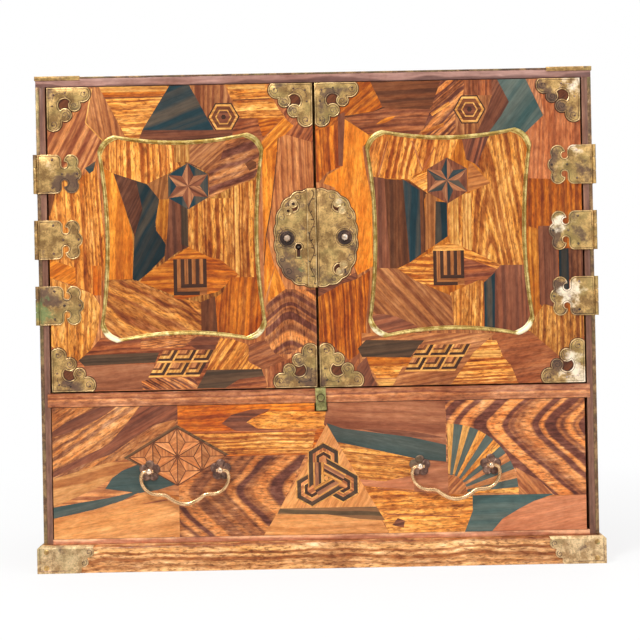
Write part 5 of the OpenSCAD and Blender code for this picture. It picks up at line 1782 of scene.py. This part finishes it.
class Veneer:
    """A thin sheet of marquetry on one face, cut from patches that are laid over each other."""

    THICKNESS = 0.12
    SHARED_SLOT = "marquetry"

    def __init__(self, name: str, body: str, patches: Sequence[Patch], ground: Sequence[Point],
                 holes: Sequence[Sequence[Point]], face_y: float) -> None:
        """Takes what the sheet is cut from.

        Args:
            name: Name of the piece.
            body: Body that the sheet is glued to.
            patches: Pieces of veneer; a later one lies over an earlier one.
            ground: Outline of the whole sheet.
            holes: Outlines of what is cut out of it.
            face_y: Depth of the face that it is glued to, in millimetres.
        """
        self.name, self.body, self.patches = name, body, patches
        self.ground, self.holes, self.face_y = ground, holes, face_y
        self.random = random.Random(f"{SEED} {name}")

    def triangles(self) -> tuple[list[Vector], list[tuple[Sequence[int], int]]]:
        """Cuts the sheet into triangles, each with the number of the patch on top of it.

        Returns:
            All points, and each triangle's corners with the number of its patch.
        """
        points: list[Vector] = []
        edges: list[tuple[int, int]] = []
        for outline in (self.ground, *self.holes, *(patch.outline for patch in self.patches)):
            first, count = len(points), len(outline)
            points += [Vector(p) for p in outline]
            edges += [(first + i, first + (i + 1) % count) for i in range(count)]
        flat, _, cut, _, _, _ = delaunay_2d_cdt(points, edges, [], 0, 1e-3, False)
        kept = []
        for corners in cut:
            middle = sum((flat[i] for i in corners), Vector((0, 0))) / len(corners)
            if within(middle, self.ground) and not any(within(middle, hole) for hole in self.holes):
                owners = [i for i, patch in enumerate(self.patches) if within(middle, patch.outline)]
                if owners:
                    kept.append((corners, owners[-1]))
        return flat, kept

    def build(self) -> None:
        """Makes the closed sheet and writes each patch's wood and grain on its faces."""
        flat, cut = self.triangles()
        used = sorted({i for corners, _ in cut for i in corners})
        number = {old: new for new, old in enumerate(used)}
        count = len(used)
        front = [(flat[i].x * MM, (self.face_y - self.THICKNESS) * MM, flat[i].y * MM) for i in used]
        back = [(x, self.face_y * MM, z) for x, _, z in front]
        faces, owners = [], []
        open_edges: dict[tuple[int, int], int] = {}
        for corners, owner in cut:
            ring = [number[i] for i in corners]
            a, b, c = (Vector(front[i]) for i in ring)
            if (b - a).cross(c - a).y > 0:
                ring.reverse()
            faces += [ring, [i + count for i in reversed(ring)]]
            owners += [owner, owner]
            for first, second in zip(ring, ring[1:] + ring[:1]):
                if open_edges.pop((second, first), None) is None:
                    open_edges[(first, second)] = owner
        for (first, second), owner in open_edges.items():
            faces.append([second, first, first + count, second + count])
            owners.append(owner)
        mesh = bpy.data.meshes.new(self.name)
        mesh.from_pydata(front + back, [], faces)
        self.write_wood(mesh, owners)
        install(new_object(self.name, mesh, veneer_material()), self.body, self.SHARED_SLOT)

    def write_wood(self, mesh: bpy.types.Mesh, owners: Sequence[int]) -> None:
        """Writes the attributes that the veneer material reads.

        Args:
            mesh: Mesh of the sheet.
            owners: Number of each face's patch.
        """
        values: dict[str, list[float]] = {name: [] for name in ("light", "dark", "grain", "figure", "finish")}
        shifts = [self.random.uniform(0.1, 0.9) for _ in self.patches]
        tones = [self.random.uniform(0.95, 1.05) for _ in self.patches]
        for face, owner in zip(mesh.polygons, owners):
            patch = self.patches[owner]
            species: Species = patch.wood.value
            tone = patch.tone * tones[owner]
            light, dark = ((*(c * tone for c in colour(code)[:3]), 1.0)
                           for code in (species.light, species.dark))
            middle = sum((Vector(p) for p in patch.outline), Vector((0, 0))) / len(patch.outline)
            middle = Vector(patch.heart) if patch.heart else middle
            turn = math.radians(patch.grain)
            contrast = species.contrast if patch.contrast is None else patch.contrast
            shift = 0.0 if patch.arch else shifts[owner]
            for corner in face.vertices:
                place = mesh.vertices[corner].co
                x, z = place.x - middle.x * MM, place.z - middle.y * MM
                along = x * math.cos(turn) + z * math.sin(turn)
                across = z * math.cos(turn) - x * math.sin(turn)
                values["light"] += light
                values["dark"] += dark
                values["grain"] += (along, across + shift, shifts[owner] * 10)
                values["figure"] += ((patch.band or species.band) * MM, contrast, patch.arch)
                values["finish"] += (species.wave * MM, species.fleck, 0)
        for name, numbers in values.items():
            tint = name in ("light", "dark")
            attribute = mesh.attributes.new(name, "FLOAT_COLOR" if tint else "FLOAT_VECTOR", "CORNER")
            attribute.data.foreach_set("color" if tint else "vector", numbers)


@cache
def veneer_material() -> bpy.types.Material:
    """Material of every marquetry sheet, which reads its woods from the mesh.

    Returns:
        The material.
    """
    made, tree, shader = new_material("marquetry")

    def read(name: str, output: str = "Vector") -> Socket:
        """Socket that reads one attribute of the mesh."""
        return tree.add("ShaderNodeAttribute", attribute_name=name).outputs[output]

    band, contrast, arch = tree.split(read("figure"))
    wave, fleck, _ = tree.split(read("finish"))
    figure = {"Grain": read("grain"), "Light": read("light", "Color"), "Dark": read("dark", "Color"),
              "Band": band, "Contrast": contrast, "Arch": arch, "Wave": wave, "Fleck": fleck}
    place = tree.add("ShaderNodeTexCoord").outputs["Object"]
    dress_wood(tree, shader, figure, place, 0.25, 0.35)
    return made


@dataclass(frozen=True)
class Field:
    """The cushion-shaped outline of a door's field."""

    centre: Point
    width: float
    height: float
    bow: float = 4.7
    cut: float = 11.5
    swell: float = 2.4
    steps: int = 14

    def quarter(self, inset: float) -> list[Point]:
        """Outline from its right middle to its top middle, drawn in by inset.

        Args:
            inset: Distance from the field's edge.

        Returns:
            The points.
        """
        half_w, half_h = self.width / 2 - inset, self.height / 2 - inset
        sx, sy = half_w - self.cut, half_h - self.cut
        shares = [i / self.steps for i in range(self.steps + 1)]
        side = [(half_w - self.bow * (1 - t * t), sy * t) for t in shares]
        corner = []
        for t in shares[1:-1]:
            out = self.swell * math.sin(math.pi * t) * 0.7
            corner.append((half_w - self.cut * t + out, sy + self.cut * t + out))
        top = [(sx * (1 - t), half_h - self.bow * (1 - (1 - t) ** 2)) for t in shares]
        return side + corner + top

    def outline(self, inset: float) -> list[Point]:
        """Whole outline, drawn in by inset, counted leftwards from its right middle.

        Args:
            inset: Distance from the field's edge.

        Returns:
            The points.
        """
        quarter = self.quarter(inset)
        ring = quarter[:-1] + [(-x, z) for x, z in quarter[::-1]][:-1]
        ring += [(-x, -z) for x, z in quarter][:-1] + [(x, -z) for x, z in quarter[::-1]][:-1]
        return [(self.centre[0] + x, self.centre[1] + z) for x, z in ring]


# Studio


@dataclass
class Studio:
    """Camera, world, floor and lamps, placed for the photograph's straight front view."""

    middle: Point = (1.8, 174.7)
    frame_width: float = 451.5
    lens: float = 85.0
    sensor: float = 36.0
    roll: float = 1.11

    def build(self) -> None:
        """Sets up everything but the cabinet."""
        scene = bpy.context.scene
        scene.view_settings.view_transform = "Standard"
        self.place_camera(scene)
        self.fill_world(scene)
        self.lay_floor()
        self.hang_lamps()
        log.info("studio ready")

    def place_camera(self, scene: bpy.types.Scene) -> None:
        """Stands the camera square to the front, at the distance that gives the photograph's frame.

        Args:
            scene: Scene to add it to.
        """
        front = limits_mm("left_door_board")[0].y
        distance = self.frame_width * self.lens / self.sensor
        data = bpy.data.cameras.new("camera")
        data.lens, data.sensor_width = self.lens, self.sensor
        data.clip_start, data.clip_end = 0.05, 50
        camera = bpy.data.objects.new("camera", data)
        scene.collection.objects.link(camera)
        c, s = math.cos(math.radians(self.roll)), math.sin(math.radians(self.roll))
        place = Vector((self.middle[0], front - distance, self.middle[1])) * MM
        turn = Matrix(((c, s, 0), (0, 0, -1), (-s, c, 0))).to_4x4()
        camera.matrix_world = Matrix.Translation(place) @ turn
        scene.camera = camera

    def fill_world(self, scene: bpy.types.Scene) -> None:
        """Lights the cabinet from all round, on a background that is seen as white.

        Args:
            scene: Scene to light.
        """
        world = bpy.data.worlds.new("world")
        scene.world = world
        world.use_nodes = True
        tree = Tree(world.node_tree)
        rays = tree.add("ShaderNodeLightPath").outputs
        seen = tree.math("MAXIMUM", rays["Is Camera Ray"], rays["Is Transmission Ray"])
        height = tree.split(tree.add("ShaderNodeTexCoord").outputs["Generated"])[2]
        soft = tree.mask(height, -0.3, 0.9, 0.45)
        level = tree.math("MAXIMUM", seen, tree.math("ADD", soft, 0.12))
        back = world.node_tree.nodes["Background"]
        back.inputs["Color"].default_value = (1, 1, 1, 1)
        tree.put(back.inputs["Strength"], level)

    def lay_floor(self) -> None:
        """Lays a wide pale floor that keeps the cabinet's shadow."""
        reach = 3.0
        mesh = bpy.data.meshes.new("floor")
        mesh.from_pydata([(-reach, -reach, 0), (reach, -reach, 0), (reach, reach, 0), (-reach, reach, 0)],
                         [], [(0, 1, 2, 3)])
        material, tree, shader = new_material("floor")
        shader["Base Color"].default_value = (0.86, 0.86, 0.86, 1)
        shader["Roughness"].default_value = 0.9
        glow = tree.add("ShaderNodeEmission", {"Color": (1, 1, 1, 1), "Strength": 1.0})
        rays = tree.add("ShaderNodeLightPath").outputs
        mixed = tree.add("ShaderNodeMixShader")
        place = tree.add("ShaderNodeTexCoord").outputs["Object"]
        away = tree.add("ShaderNodeVectorMath", {0: place}, operation="LENGTH").outputs["Value"]
        share = tree.scaled(tree.mask(away, 0.3, 0.75), 0.2, 0.8)
        tree.put(mixed.inputs[0], tree.times(rays["Is Camera Ray"], share))
        tree.put(mixed.inputs[1], material.node_tree.nodes["Principled BSDF"].outputs[0])
        tree.put(mixed.inputs[2], glow.outputs[0])
        tree.put(material.node_tree.nodes["Material Output"].inputs["Surface"], mixed.outputs[0])
        new_object("floor", mesh, material)

    def hang_lamps(self) -> None:
        """Hangs soft boxes at the front, above and at both sides."""
        target = Vector((0, 0, 0.16))
        lamps = (("key", (-0.8, -1.6, 1.7), 0.4, 32), ("fill", (1.3, -1.9, 0.9), 1.4, 11),
                 ("top", (0.1, -0.3, 1.9), 1.4, 10), ("rear", (0.2, 2.0, 1.3), 1.4, 12))
        for name, place, size, power in lamps:
            data = bpy.data.lights.new(name, "AREA")
            data.shape, data.size, data.energy = "SQUARE", size, power
            lamp = bpy.data.objects.new(name, data)
            bpy.context.scene.collection.objects.link(lamp)
            lamp.location = place
            lamp.rotation_euler = (target - Vector(place)).to_track_quat("-Z", "Y").to_euler()


# Sub-assemblies


@dataclass
class Door:
    """One door: its marquetry, bead and brass. Sizes are in millimetres."""

    side: Side
    patches: Sequence[Patch]
    panel_patches: Sequence[Patch]
    bead_width: float = 3.2
    pocket_play: float = 0.1
    bead_radius: float = 1.2
    bead_foot: float = 0.35
    field_gap: float = 0.2
    panel_margin: float = 1.5
    plate_thickness: float = 0.6
    plate_bevel: float = 0.14
    mount_leg: float = 31.0
    hinge_height: float = 27.5
    lock_centre: Point = (0.1, 232.7)
    lock_half: Point = (25.9, 31.2)
    piercing: Point = (15.84, 22.4)
    pull_x: float = 20.3
    keyhole: Point = (-12.3, 226.5)
    keyhole_radius: float = 2.4

    def build(self) -> None:
        """Builds and dresses every piece of the door."""
        word = self.side.word
        self.body = word + "_door"
        self.low, self.high = limits_mm(word + "_door_board")
        bead_low, bead_high = limits_mm(word + "_door_bead")
        middle = (bead_low + bead_high) / 2
        play = 2 * self.pocket_play
        self.bead_front = bead_low.y
        self.bead_back = bead_high.y
        self.field = Field((middle.x, middle.z), bead_high.x - bead_low.x + play,
                           bead_high.z - bead_low.z + play)
        self.lay_veneer()
        self.build_bead()
        self.dress_brass()
        self.build_pull()

    def dress_brass(self) -> None:
        """Rims, chases and nails the door's brass plates."""
        word = self.side.word
        for node in ("_door_corner_mounts", "_hinge_leaves", "_lock_plate"):
            Softened(word + node, Finish.BRASS, self.plate_bevel, True).build()
            rim(word + node)
            if node != "_hinge_leaves":
                seam(word + node, self.low, self.high)
        nail_heads(word + "_door_nails", Finish.DARK, "dark_brass")
        lines = self.mount_lines() + self.lock_lines() + self.hinge_lines()
        chase(word + "_door_chasing", self.body, lines, self.low.y - self.plate_thickness)
        self.build_volutes()
        if self.side is Side.LEFT:
            self.dress_astragal()

    def on_lock(self, out: float, up: float) -> Point:
        """Place on this door's half of the lock plate, from its centre outwards and up."""
        return self.lock_centre[0] + self.side.value * out, self.lock_centre[1] + up

    def build_volutes(self) -> None:
        """Turns the round volutes beside the piercings of the lock plate."""
        curl = [(3.0, 0), (3.05, 0.95), (2.8, 1.15), (2.4, 1.1), (2.15, 0.85), (1.6, 0.85), (1.2, 1.0),
                (0, 1.05)]
        eye = [(1.15, 0.9), (1.1, 1.12), (0.7, 1.2), (0, 1.22)]
        places, look = [(15.5, 24.2), (19.2, 19.3)], Finish.LINE
        if self.side is Side.RIGHT:
            places += [(16.5, -24.2), (19.3, -19.2)]
            look = Finish.PALE_BRASS
        centres = [Vector((x, self.low.y, z)) for x, z in (self.on_lock(*place) for place in places)]
        for ending, profile, finish in (("_volutes", curl, Finish.RIM), ("_volute_eyes", eye, look)):
            mesh = mesh_from(self.side.word + ending,
                             lambda work: [lathe(work, profile, centre, 28) for centre in centres])
            dress(mesh, finish, self.body, "aged_brass")

    def mount_lines(self) -> list[Line]:
        """Chased lines of the four corner mounts.

        Returns:
            The lines.
        """
        lines = []
        for x, inward in ((self.low.x, self.mount_leg), (self.high.x, -self.mount_leg)):
            for z, upward in ((self.low.z, self.mount_leg), (self.high.z, -self.mount_leg)):

                def place(u: float, v: float) -> Point:
                    """Point of the mount for shares of its leg along both edges."""
                    return x + inward * u, z + upward * v

                hand = 1 if inward * upward > 0 else -1
                for u, v, way in ((0.84, 0.15, 1), (0.15, 0.84, -1), (0.63, 0.41, 1), (0.41, 0.63, -1)):
                    start = math.degrees(math.atan2(upward * (v - 0.2), inward * (u - 0.2)))
                    lines.append(scroll(place(u, v), 2.7, 1.25, start, hand * way))
                lines.append(Line([place(0.3 + 0.176 * math.cos(a / 5), 0.3 + 0.176 * math.sin(a / 5))
                                   for a in range(15, 32)], 0.2))
        return lines

    def lock_lines(self) -> list[Line]:
        """Chased lines of this door's half of the lock plate.

        Returns:
            The lines.
        """
        side = self.side.value
        scallops, bare_middle = 10, 9
        lines = []
        for i in range(scallops):
            angle = math.pi * ((i + 0.5) / scallops - 0.5)
            reach = (abs(math.cos(angle)) ** 2.5 + abs(math.sin(angle)) ** 2.5) ** -0.4
            out = self.lock_half[0] * reach * math.cos(angle)
            if out > bare_middle:
                start = math.degrees(math.atan2(math.sin(angle), side * math.cos(angle)))
                place = self.on_lock(out, self.lock_half[1] * reach * math.sin(angle))
                lines.append(scroll(place, 2.5, 1.1, start + 90 * side, side))
        for way in (-1, 1):
            if self.side is Side.RIGHT or way > 0:
                lines.append(loop(self.on_lock(self.piercing[0], way * self.piercing[1]), 4.6, 0.2))
        pull = self.on_lock(self.pull_x, 0)
        return lines + [loop(pull, 6.1, 0.26), loop(pull, 7.6, 0.16)]

    def hinge_lines(self) -> list[Line]:
        """Chased lines of the hinges' leaves on the door.

        Returns:
            The lines.
        """
        side, half = self.side.value, self.hinge_height / 2
        edge, curl_x, curl_z = 195.2, 171.2, 8.2
        bend = arc((-182.6, 7.6), 3.4, range(-20, 100, 12))
        low, high = limits_mm(self.side.word + "_hinge_leaves")
        lines = []
        for z in (low.z + half, (low.z + high.z) / 2, high.z - half):
            lines.append(Line([(side * edge, z - half + 1), (side * edge, z + half - 1)], 0.2))
            for up in (1, -1):
                start = 90 * (1 - side) + 20 * up * side
                lines.append(scroll((side * curl_x, z + up * curl_z), 2.9, 1.2, start, -up * side))
                lines.append(Line([(-side * x, z + up * rise) for x, rise in bend], 0.2))
        return lines

    def dress_astragal(self) -> None:
        """Softens the astragal strip, chases its vine, and lays pale lines along its edges as painted
        highlights.
        """
        Softened("astragal_strip", Finish.BRASS, 0.3).build()
        low, high = limits_mm("astragal_strip")
        middle, swing, waves, phase = (low.x + high.x) / 2, 1.75, 3.2, 0.6
        steps, margin = 90, 2.5
        length = high.z - low.z - 2 * margin
        vine = [(middle + swing * math.sin(2 * math.pi * waves * i / steps + phase),
                 low.z + margin + length * i / steps) for i in range(steps + 1)]
        stem = vine_tree().grow("astragal_vine", line_seeds([Line(vine, 0.3)], low.y), Finish.LINE,
                                Seed=SEED, Sides=6, Spacing=5.2 * MM, Leaf=2.2 * MM)
        install(stem, self.body, "dark_brass")
        # Painted highlights: pale rods along both long edges of the strip.
        edges = [Line([(x, low.z + 0.8), (x, high.z - 0.8)], 0.3) for x in (low.x + 0.6, high.x - 0.6)]
        lay_rods("astragal_edge_lines", self.body, "aged_brass", edges, low.y, Finish.PALE_BRASS)

    def build_pull(self) -> None:
        """Turns the door's ringed pull in dark brass, which also paints the shade round the dome, and its
        nearly white dome, a painted highlight.
        """
        node = self.side.word + "_door_pull"
        low, high = limits_mm(node)
        base = Vector(((low.x + high.x) / 2, high.y, (low.z + high.z) / 2))
        rings = [(5.3, 0), (5.3, 0.5), (5.05, 0.85), (4.75, 0.95), (4.5, 0.7), (4.25, 0.6), (4.0, 0.75),
                 (3.8, 1.1), (3.45, 1.2), (3.15, 1.0), (2.9, 0.7), (2.55, 0.7), (2.45, 1.0), (0, 1.0)]
        dome = [(2.3, 0.6), (2.35, 1.6), (2.2, 2.9), (2.28, 3.3), (2.2, 3.9), (1.8, 4.5), (1.2, 4.85),
                (0.6, 4.97), (0, 5)]
        for ending, profile, finish, replaced in (("_rings", rings, Finish.DARK, [node]),
                                                  ("_dome", dome, Finish.DOME, [])):
            mesh = mesh_from(node + ending, lambda work: lathe(work, profile, base))
            dress(mesh, finish, self.body, "dark_brass", *replaced)

    def lay_veneer(self) -> None:
        """Covers the door and its panel with marquetry."""
        free = self.high.x if self.side is Side.LEFT else self.low.x
        outer = self.low.x if self.side is Side.LEFT else self.high.x
        ground = [(outer, self.low.z), (free, self.low.z), (free, self.high.z), (outer, self.high.z)]
        holes = [self.field.outline(self.field_gap)]
        if self.side is Side.LEFT:
            holes.append(round_points(self.keyhole, self.keyhole_radius, 24))
        word = self.side.word
        Veneer(word + "_door_veneer", self.body, self.patches, ground, holes, self.low.y).build()
        panel, face = self.field.outline(self.panel_margin), limits_mm(word + "_door_panel")[0].y
        Veneer(word + "_panel_veneer", self.body, self.panel_patches, panel, [], face).build()

    def build_bead(self) -> None:
        """Runs the half-round bead with its inner quirk round the field."""
        play, back = self.pocket_play, self.bead_back
        foot = back - self.bead_foot
        rise = foot - self.bead_front
        turns = [math.pi * i / 7 for i in range(8)]
        profile = [(play, back)]
        profile += [(play + self.bead_radius * (1 - math.cos(turn)), foot - rise * math.sin(turn))
                    for turn in turns]
        profile += [(2.5, back - 0.5), (2.75, back - 0.75), (3.05, back - 0.6), (self.bead_width, back - 0.1)]

        def fill(work: bmesh.types.BMesh) -> None:
            """Joins the profile's rings into a closed moulding.

            Args:
                work: BMesh to add it to.
            """
            rings = [[work.verts.new(Vector((x, y, z)) * MM) for x, z in self.field.outline(inset)]
                     for inset, y in profile]
            join_rings(work, rings + rings[:1])

        dress(mesh_from(self.side.word + "_bead", fill), Finish.BEAD, self.body, "bead_brass",
              self.side.word + "_door_bead")


@dataclass
class LongDrawer:
    """The long drawer's front, and its two bail pulls."""

    button_x: float = 1.3
    relief_half: float = 4.5
    relief_z: float = 110.2
    ring: float = 4.2
    petal: float = 3.4
    edge_rise: float = 0.92
    edge_radius: float = 3.0
    edge_reach: int = 105

    def build(self) -> None:
        """Covers the drawer front with marquetry and hangs its pulls."""
        low, high = limits_mm("drawer_front")
        left, right = self.button_x - self.relief_half, self.button_x + self.relief_half
        ground = [(low.x, low.z), (high.x, low.z), (high.x, high.z), (right, high.z), (right, self.relief_z),
                  (left, self.relief_z), (left, high.z), (low.x, high.z)]
        Veneer("drawer_veneer", "long_drawer", DRAWER, ground, [], low.y).build()
        boxes = islands("pull_rosettes")
        mesh = mesh_from("pull_rosettes_chased", lambda work: [self.rosette(work, *box) for box in boxes])
        dress(mesh, Finish.ROSETTE, "long_drawer", "dark_brass", "pull_rosettes")
        edges = [self.petal_edge(box, number) for box in boxes for number in range(5)]
        face = boxes[0][1].y - self.edge_rise
        lay_rods("petal_edges", "long_drawer", "dark_brass", edges, face, Finish.ROSETTE)
        # The pull posts take the nearly white finish, a painted highlight.
        Softened("pull_posts", Finish.POST, 0.05).build()
        for side in Side:
            Bail(side).build()

    def petal_edge(self, box: tuple[Vector, Vector], number: int) -> Line:
        """Bright edge along the outer part of one petal.

        Args:
            box: Corners of the plain rosette.
            number: Number of the petal.

        Returns:
            The line.
        """
        spoke = 90 + 72 * number
        middle = ((box[0].x + box[1].x) / 2, box[1].z - self.ring - self.petal)
        centre = arc(middle, self.ring, [spoke])[0]
        angles = range(spoke - self.edge_reach, spoke + self.edge_reach + 1, 15)
        return Line(arc(centre, self.edge_radius, angles), 0.22)

    def rosette(self, work: bmesh.types.BMesh, low: Vector, high: Vector) -> None:
        """Adds a plum blossom of five domed petals.

        Args:
            work: BMesh to add it to.
            low: Lowest corner of the plain rosette.
            high: Highest corner of the plain rosette.
        """
        x = (low.x + high.x) / 2
        z = high.z - self.ring - self.petal
        thick = high.y - low.y
        spokes, rounds = 120, 12
        low_rise, swell, edge_share = 0.62, 0.38, 0.45
        groove_depth, groove_reach = 0.25, 0.09
        rings = []
        for j in range(rounds + 1):
            share = 1 - j / rounds
            ring = []
            for i in range(spokes if share else 1):
                angle = 2 * math.pi * i / spokes
                nearest = min(abs(math.remainder(angle - math.pi / 2 - 0.4 * math.pi * k, 2 * math.pi))
                              for k in range(5))
                chord = self.ring * math.sin(nearest)
                edge = self.ring * math.cos(nearest) + math.sqrt(max(0.0, self.petal ** 2 - chord ** 2))
                away = edge * share
                off = math.hypot(away * math.cos(nearest) - self.ring, away * math.sin(nearest)) / self.petal
                dome = low_rise + swell * math.cos(min(1.0, off) * math.pi / 2)
                groove = groove_depth * math.exp(-((nearest - math.pi / 5) / groove_reach) ** 2)
                groove *= min(1.0, share * 2)
                rise = thick * max(0.0, dome - groove) * (1 if j else edge_share)
                out = Vector((away * math.cos(angle), -rise, away * math.sin(angle)))
                ring.append(work.verts.new((Vector((x, high.y, z)) + out) * MM))
            rings.append(ring)
        foot = [work.verts.new(Vector((v.co.x, high.y * MM, v.co.z))) for v in rings[0]]
        join_rings(work, [foot, *rings])
        work.faces.new(foot)


@dataclass
class Bail:
    """One swinging bail, forged to a swelling rod."""

    side: Side
    half_width: float = 30.8
    drop: float = 23.2
    end_x: float = 27.6
    stub_x: float = 22.0
    thick: float = 1.64
    thin: float = 1.27
    stub: float = 1.15
    sides: int = 20

    def centre_line(self) -> list[Point]:
        """Control points of the bail's centre line, with its ends at height 0 and its middle at x 0.

        Returns:
            The points, from the left end to the right end.
        """
        shares = ((0.97, -0.045), (1, -0.19), (0.975, -0.38), (0.895, -0.55), (0.78, -0.66), (0.66, -0.705),
                  (0.53, -0.71), (0.43, -0.745), (0.33, -0.84), (0.22, -0.925), (0.11, -0.98), (0, -1))
        half = [(self.end_x, 0.0)] + [(x * self.half_width, z * self.drop) for x, z in shares]
        return [(-x, z) for x, z in half] + half[-2::-1]

    def build(self) -> None:
        """Sweeps the rod and its two stubs."""
        name = "bail_" + self.side.word
        low, high = limits_mm(name)
        low_pin, high_pin = limits_mm("pull_posts")
        x, z = (low.x + high.x) / 2, (low_pin.z + high_pin.z) / 2
        y = (low.y + high.y) / 2
        points = smooth(self.centre_line(), 6)
        mesh = line_seeds([Line([(x + a, z + b) for a, b in points])], y)
        shares = [min(1.0, abs(a) / self.end_x) ** 2 for a, _ in points]
        sizes = [(self.thick + (self.thin - self.thick) * share) * MM for share in shares]
        mesh.attributes["thickness"].data.foreach_set("value", sizes)
        piece = rod_tree().grow(name + "_rod", mesh, Finish.BAIL, Sides=self.sides)
        install(piece, body_of(name), "bail_brass", name)
        past_end = 0.6
        stubs = [Line([(x + s * self.stub_x, z), (x + s * (self.end_x + past_end), z)], self.stub)
                 for s in (-1, 1)]
        lay_rods(name + "_stubs", body_of(name), "bail_brass", stubs, y, Finish.BAIL, self.sides)


def smooth(points: Sequence[Point], steps: int) -> list[Point]:
    """Catmull-Rom curve through points, with a number of steps between each two.

    Args:
        points: Points on the curve.
        steps: Number of steps.

    Returns:
        The curve's points.
    """
    ends = [points[0], *points, points[-1]]
    curve = []
    for a, b, c, d in zip(ends, ends[1:], ends[2:], ends[3:]):
        for i in range(steps):
            t = i / steps
            curve.append(tuple(0.5 * (2 * q + (r - p) * t + (2 * p - 5 * q + 4 * r - s) * t * t
                                      + (3 * q - p - 3 * r + s) * t ** 3) for p, q, r, s in zip(a, b, c, d)))
    return curve + [tuple(points[-1])]


@dataclass
class Case:
    """The case, its plinth and all that stays on them. Sizes are in millimetres."""

    board_bevel: float = 0.35
    plate_bevel: float = 0.16
    pin_bevel: float = 0.08
    fitting_bevel: float = 0.12
    button: Point = (1.3, 120.03)
    mount_edge: float = 198.2
    mount_end: float = 176.0
    mount_inset: float = 1.8

    def build(self) -> None:
        """Softens the boards and dresses the brass."""
        for finish, nodes in BOARDS.items():
            for node in nodes:
                Softened(node, finish, self.board_bevel).build()
        for node, finish in CASE_BRASS.items():
            Softened(node, finish, self.plate_bevel, True).build()
        Softened("hinge_pins", Finish.DARK, self.pin_bevel).build()
        nail_heads("case_nails", Finish.BRASS, "dark_brass")
        for node, finish in FITTINGS.items():
            Softened(node, finish, self.fitting_bevel).build()
        self.chase_plinth()
        face = limits_mm("turn_button")[0].y
        chase("button_ring", "turn_button", [loop(self.button, 2.5, 0.28)], face, Finish.LINE)

    def chase_plinth(self) -> None:
        """Chases a line and two scrolls into each corner mount of the plinth."""
        low, high = limits_mm("plinth_corner_mounts")
        lines = []
        for s in (-1, 1):
            corner = (s * self.mount_edge, self.mount_inset)
            lines.append(Line([(s * self.mount_edge, high.z - self.mount_inset), corner], 0.2))
            lines.append(Line([corner, (s * self.mount_end, self.mount_inset)], 0.2))
            lines.append(scroll((s * 167.3, 7.2), 2.3, 1.1, 90 + 30 * s, s))
            lines.append(scroll((s * 163.8, 14.6), 2.3, 1.1, 90 + 150 * s, -s))
        chase("plinth_chasing", "case", lines, low.y)


INNER_PLACES = [f"{level}_{side.word}" for side in Side for level in ("lower", "upper")]

BOARDS = {
    Finish.CARCASS_UP: ("case_side_right",),
    Finish.CARCASS_LEFT: ("case_side_left",),
    Finish.CARCASS_ACROSS: ("case_top",),
    Finish.CARCASS_LOW: ("case_bottom",),
    Finish.RAIL: ("shelf_rail",),
    Finish.PLINTH: ("plinth_front",),
    Finish.PLINTH_BACK: ("plinth_back",),
    Finish.PLINTH_DEEP: ("plinth_right",),
    Finish.PLINTH_LEFT: ("plinth_left",),
    Finish.PLAIN_ACROSS: ("case_back", "shelf_board", "inner_shelves", "drawer_back"),
    Finish.PLAIN_DEEP: ("drawer_side_left", "drawer_side_right", "drawer_bottom"),
    Finish.PLAIN_UP: ("nest_sides", "inner_divider"),
    Finish.DOOR_CORE: ("left_door_board", "right_door_board", "left_door_panel", "right_door_panel"),
    Finish.DRAWER_CORE: ("drawer_front",),
    Finish.INNER_FRONT: tuple("inner_drawer_" + place for place in INNER_PLACES),
}

CASE_BRASS = {
    "hinge_case_leaves": Finish.BRASS,
    "plinth_corner_mounts": Finish.PLINTH_BRASS,
    "corner_straps": Finish.BRASS,
    "edge_strips": Finish.EDGE,
}

FITTINGS = {
    **{"inner_knob_" + place: Finish.DARK for place in INNER_PLACES},
    "turn_button": Finish.BUTTON,
    "turn_button_rivet": Finish.BUTTON,
    "lock_case": Finish.IRON,
    "lock_bolt": Finish.IRON,
    "lock_keeper": Finish.IRON,
}


def main() -> None:
    """Builds the studio and dresses the cabinet, sub-assembly by sub-assembly."""
    logging.basicConfig(level=logging.INFO, format="%(name)s: %(message)s")
    Studio().build()
    Case().build()
    Door(Side.LEFT, LEFT_DOOR, LEFT_PANEL).build()
    Door(Side.RIGHT, RIGHT_DOOR, RIGHT_PANEL).build()
    LongDrawer().build()


if __name__ == "__main__":
    main()
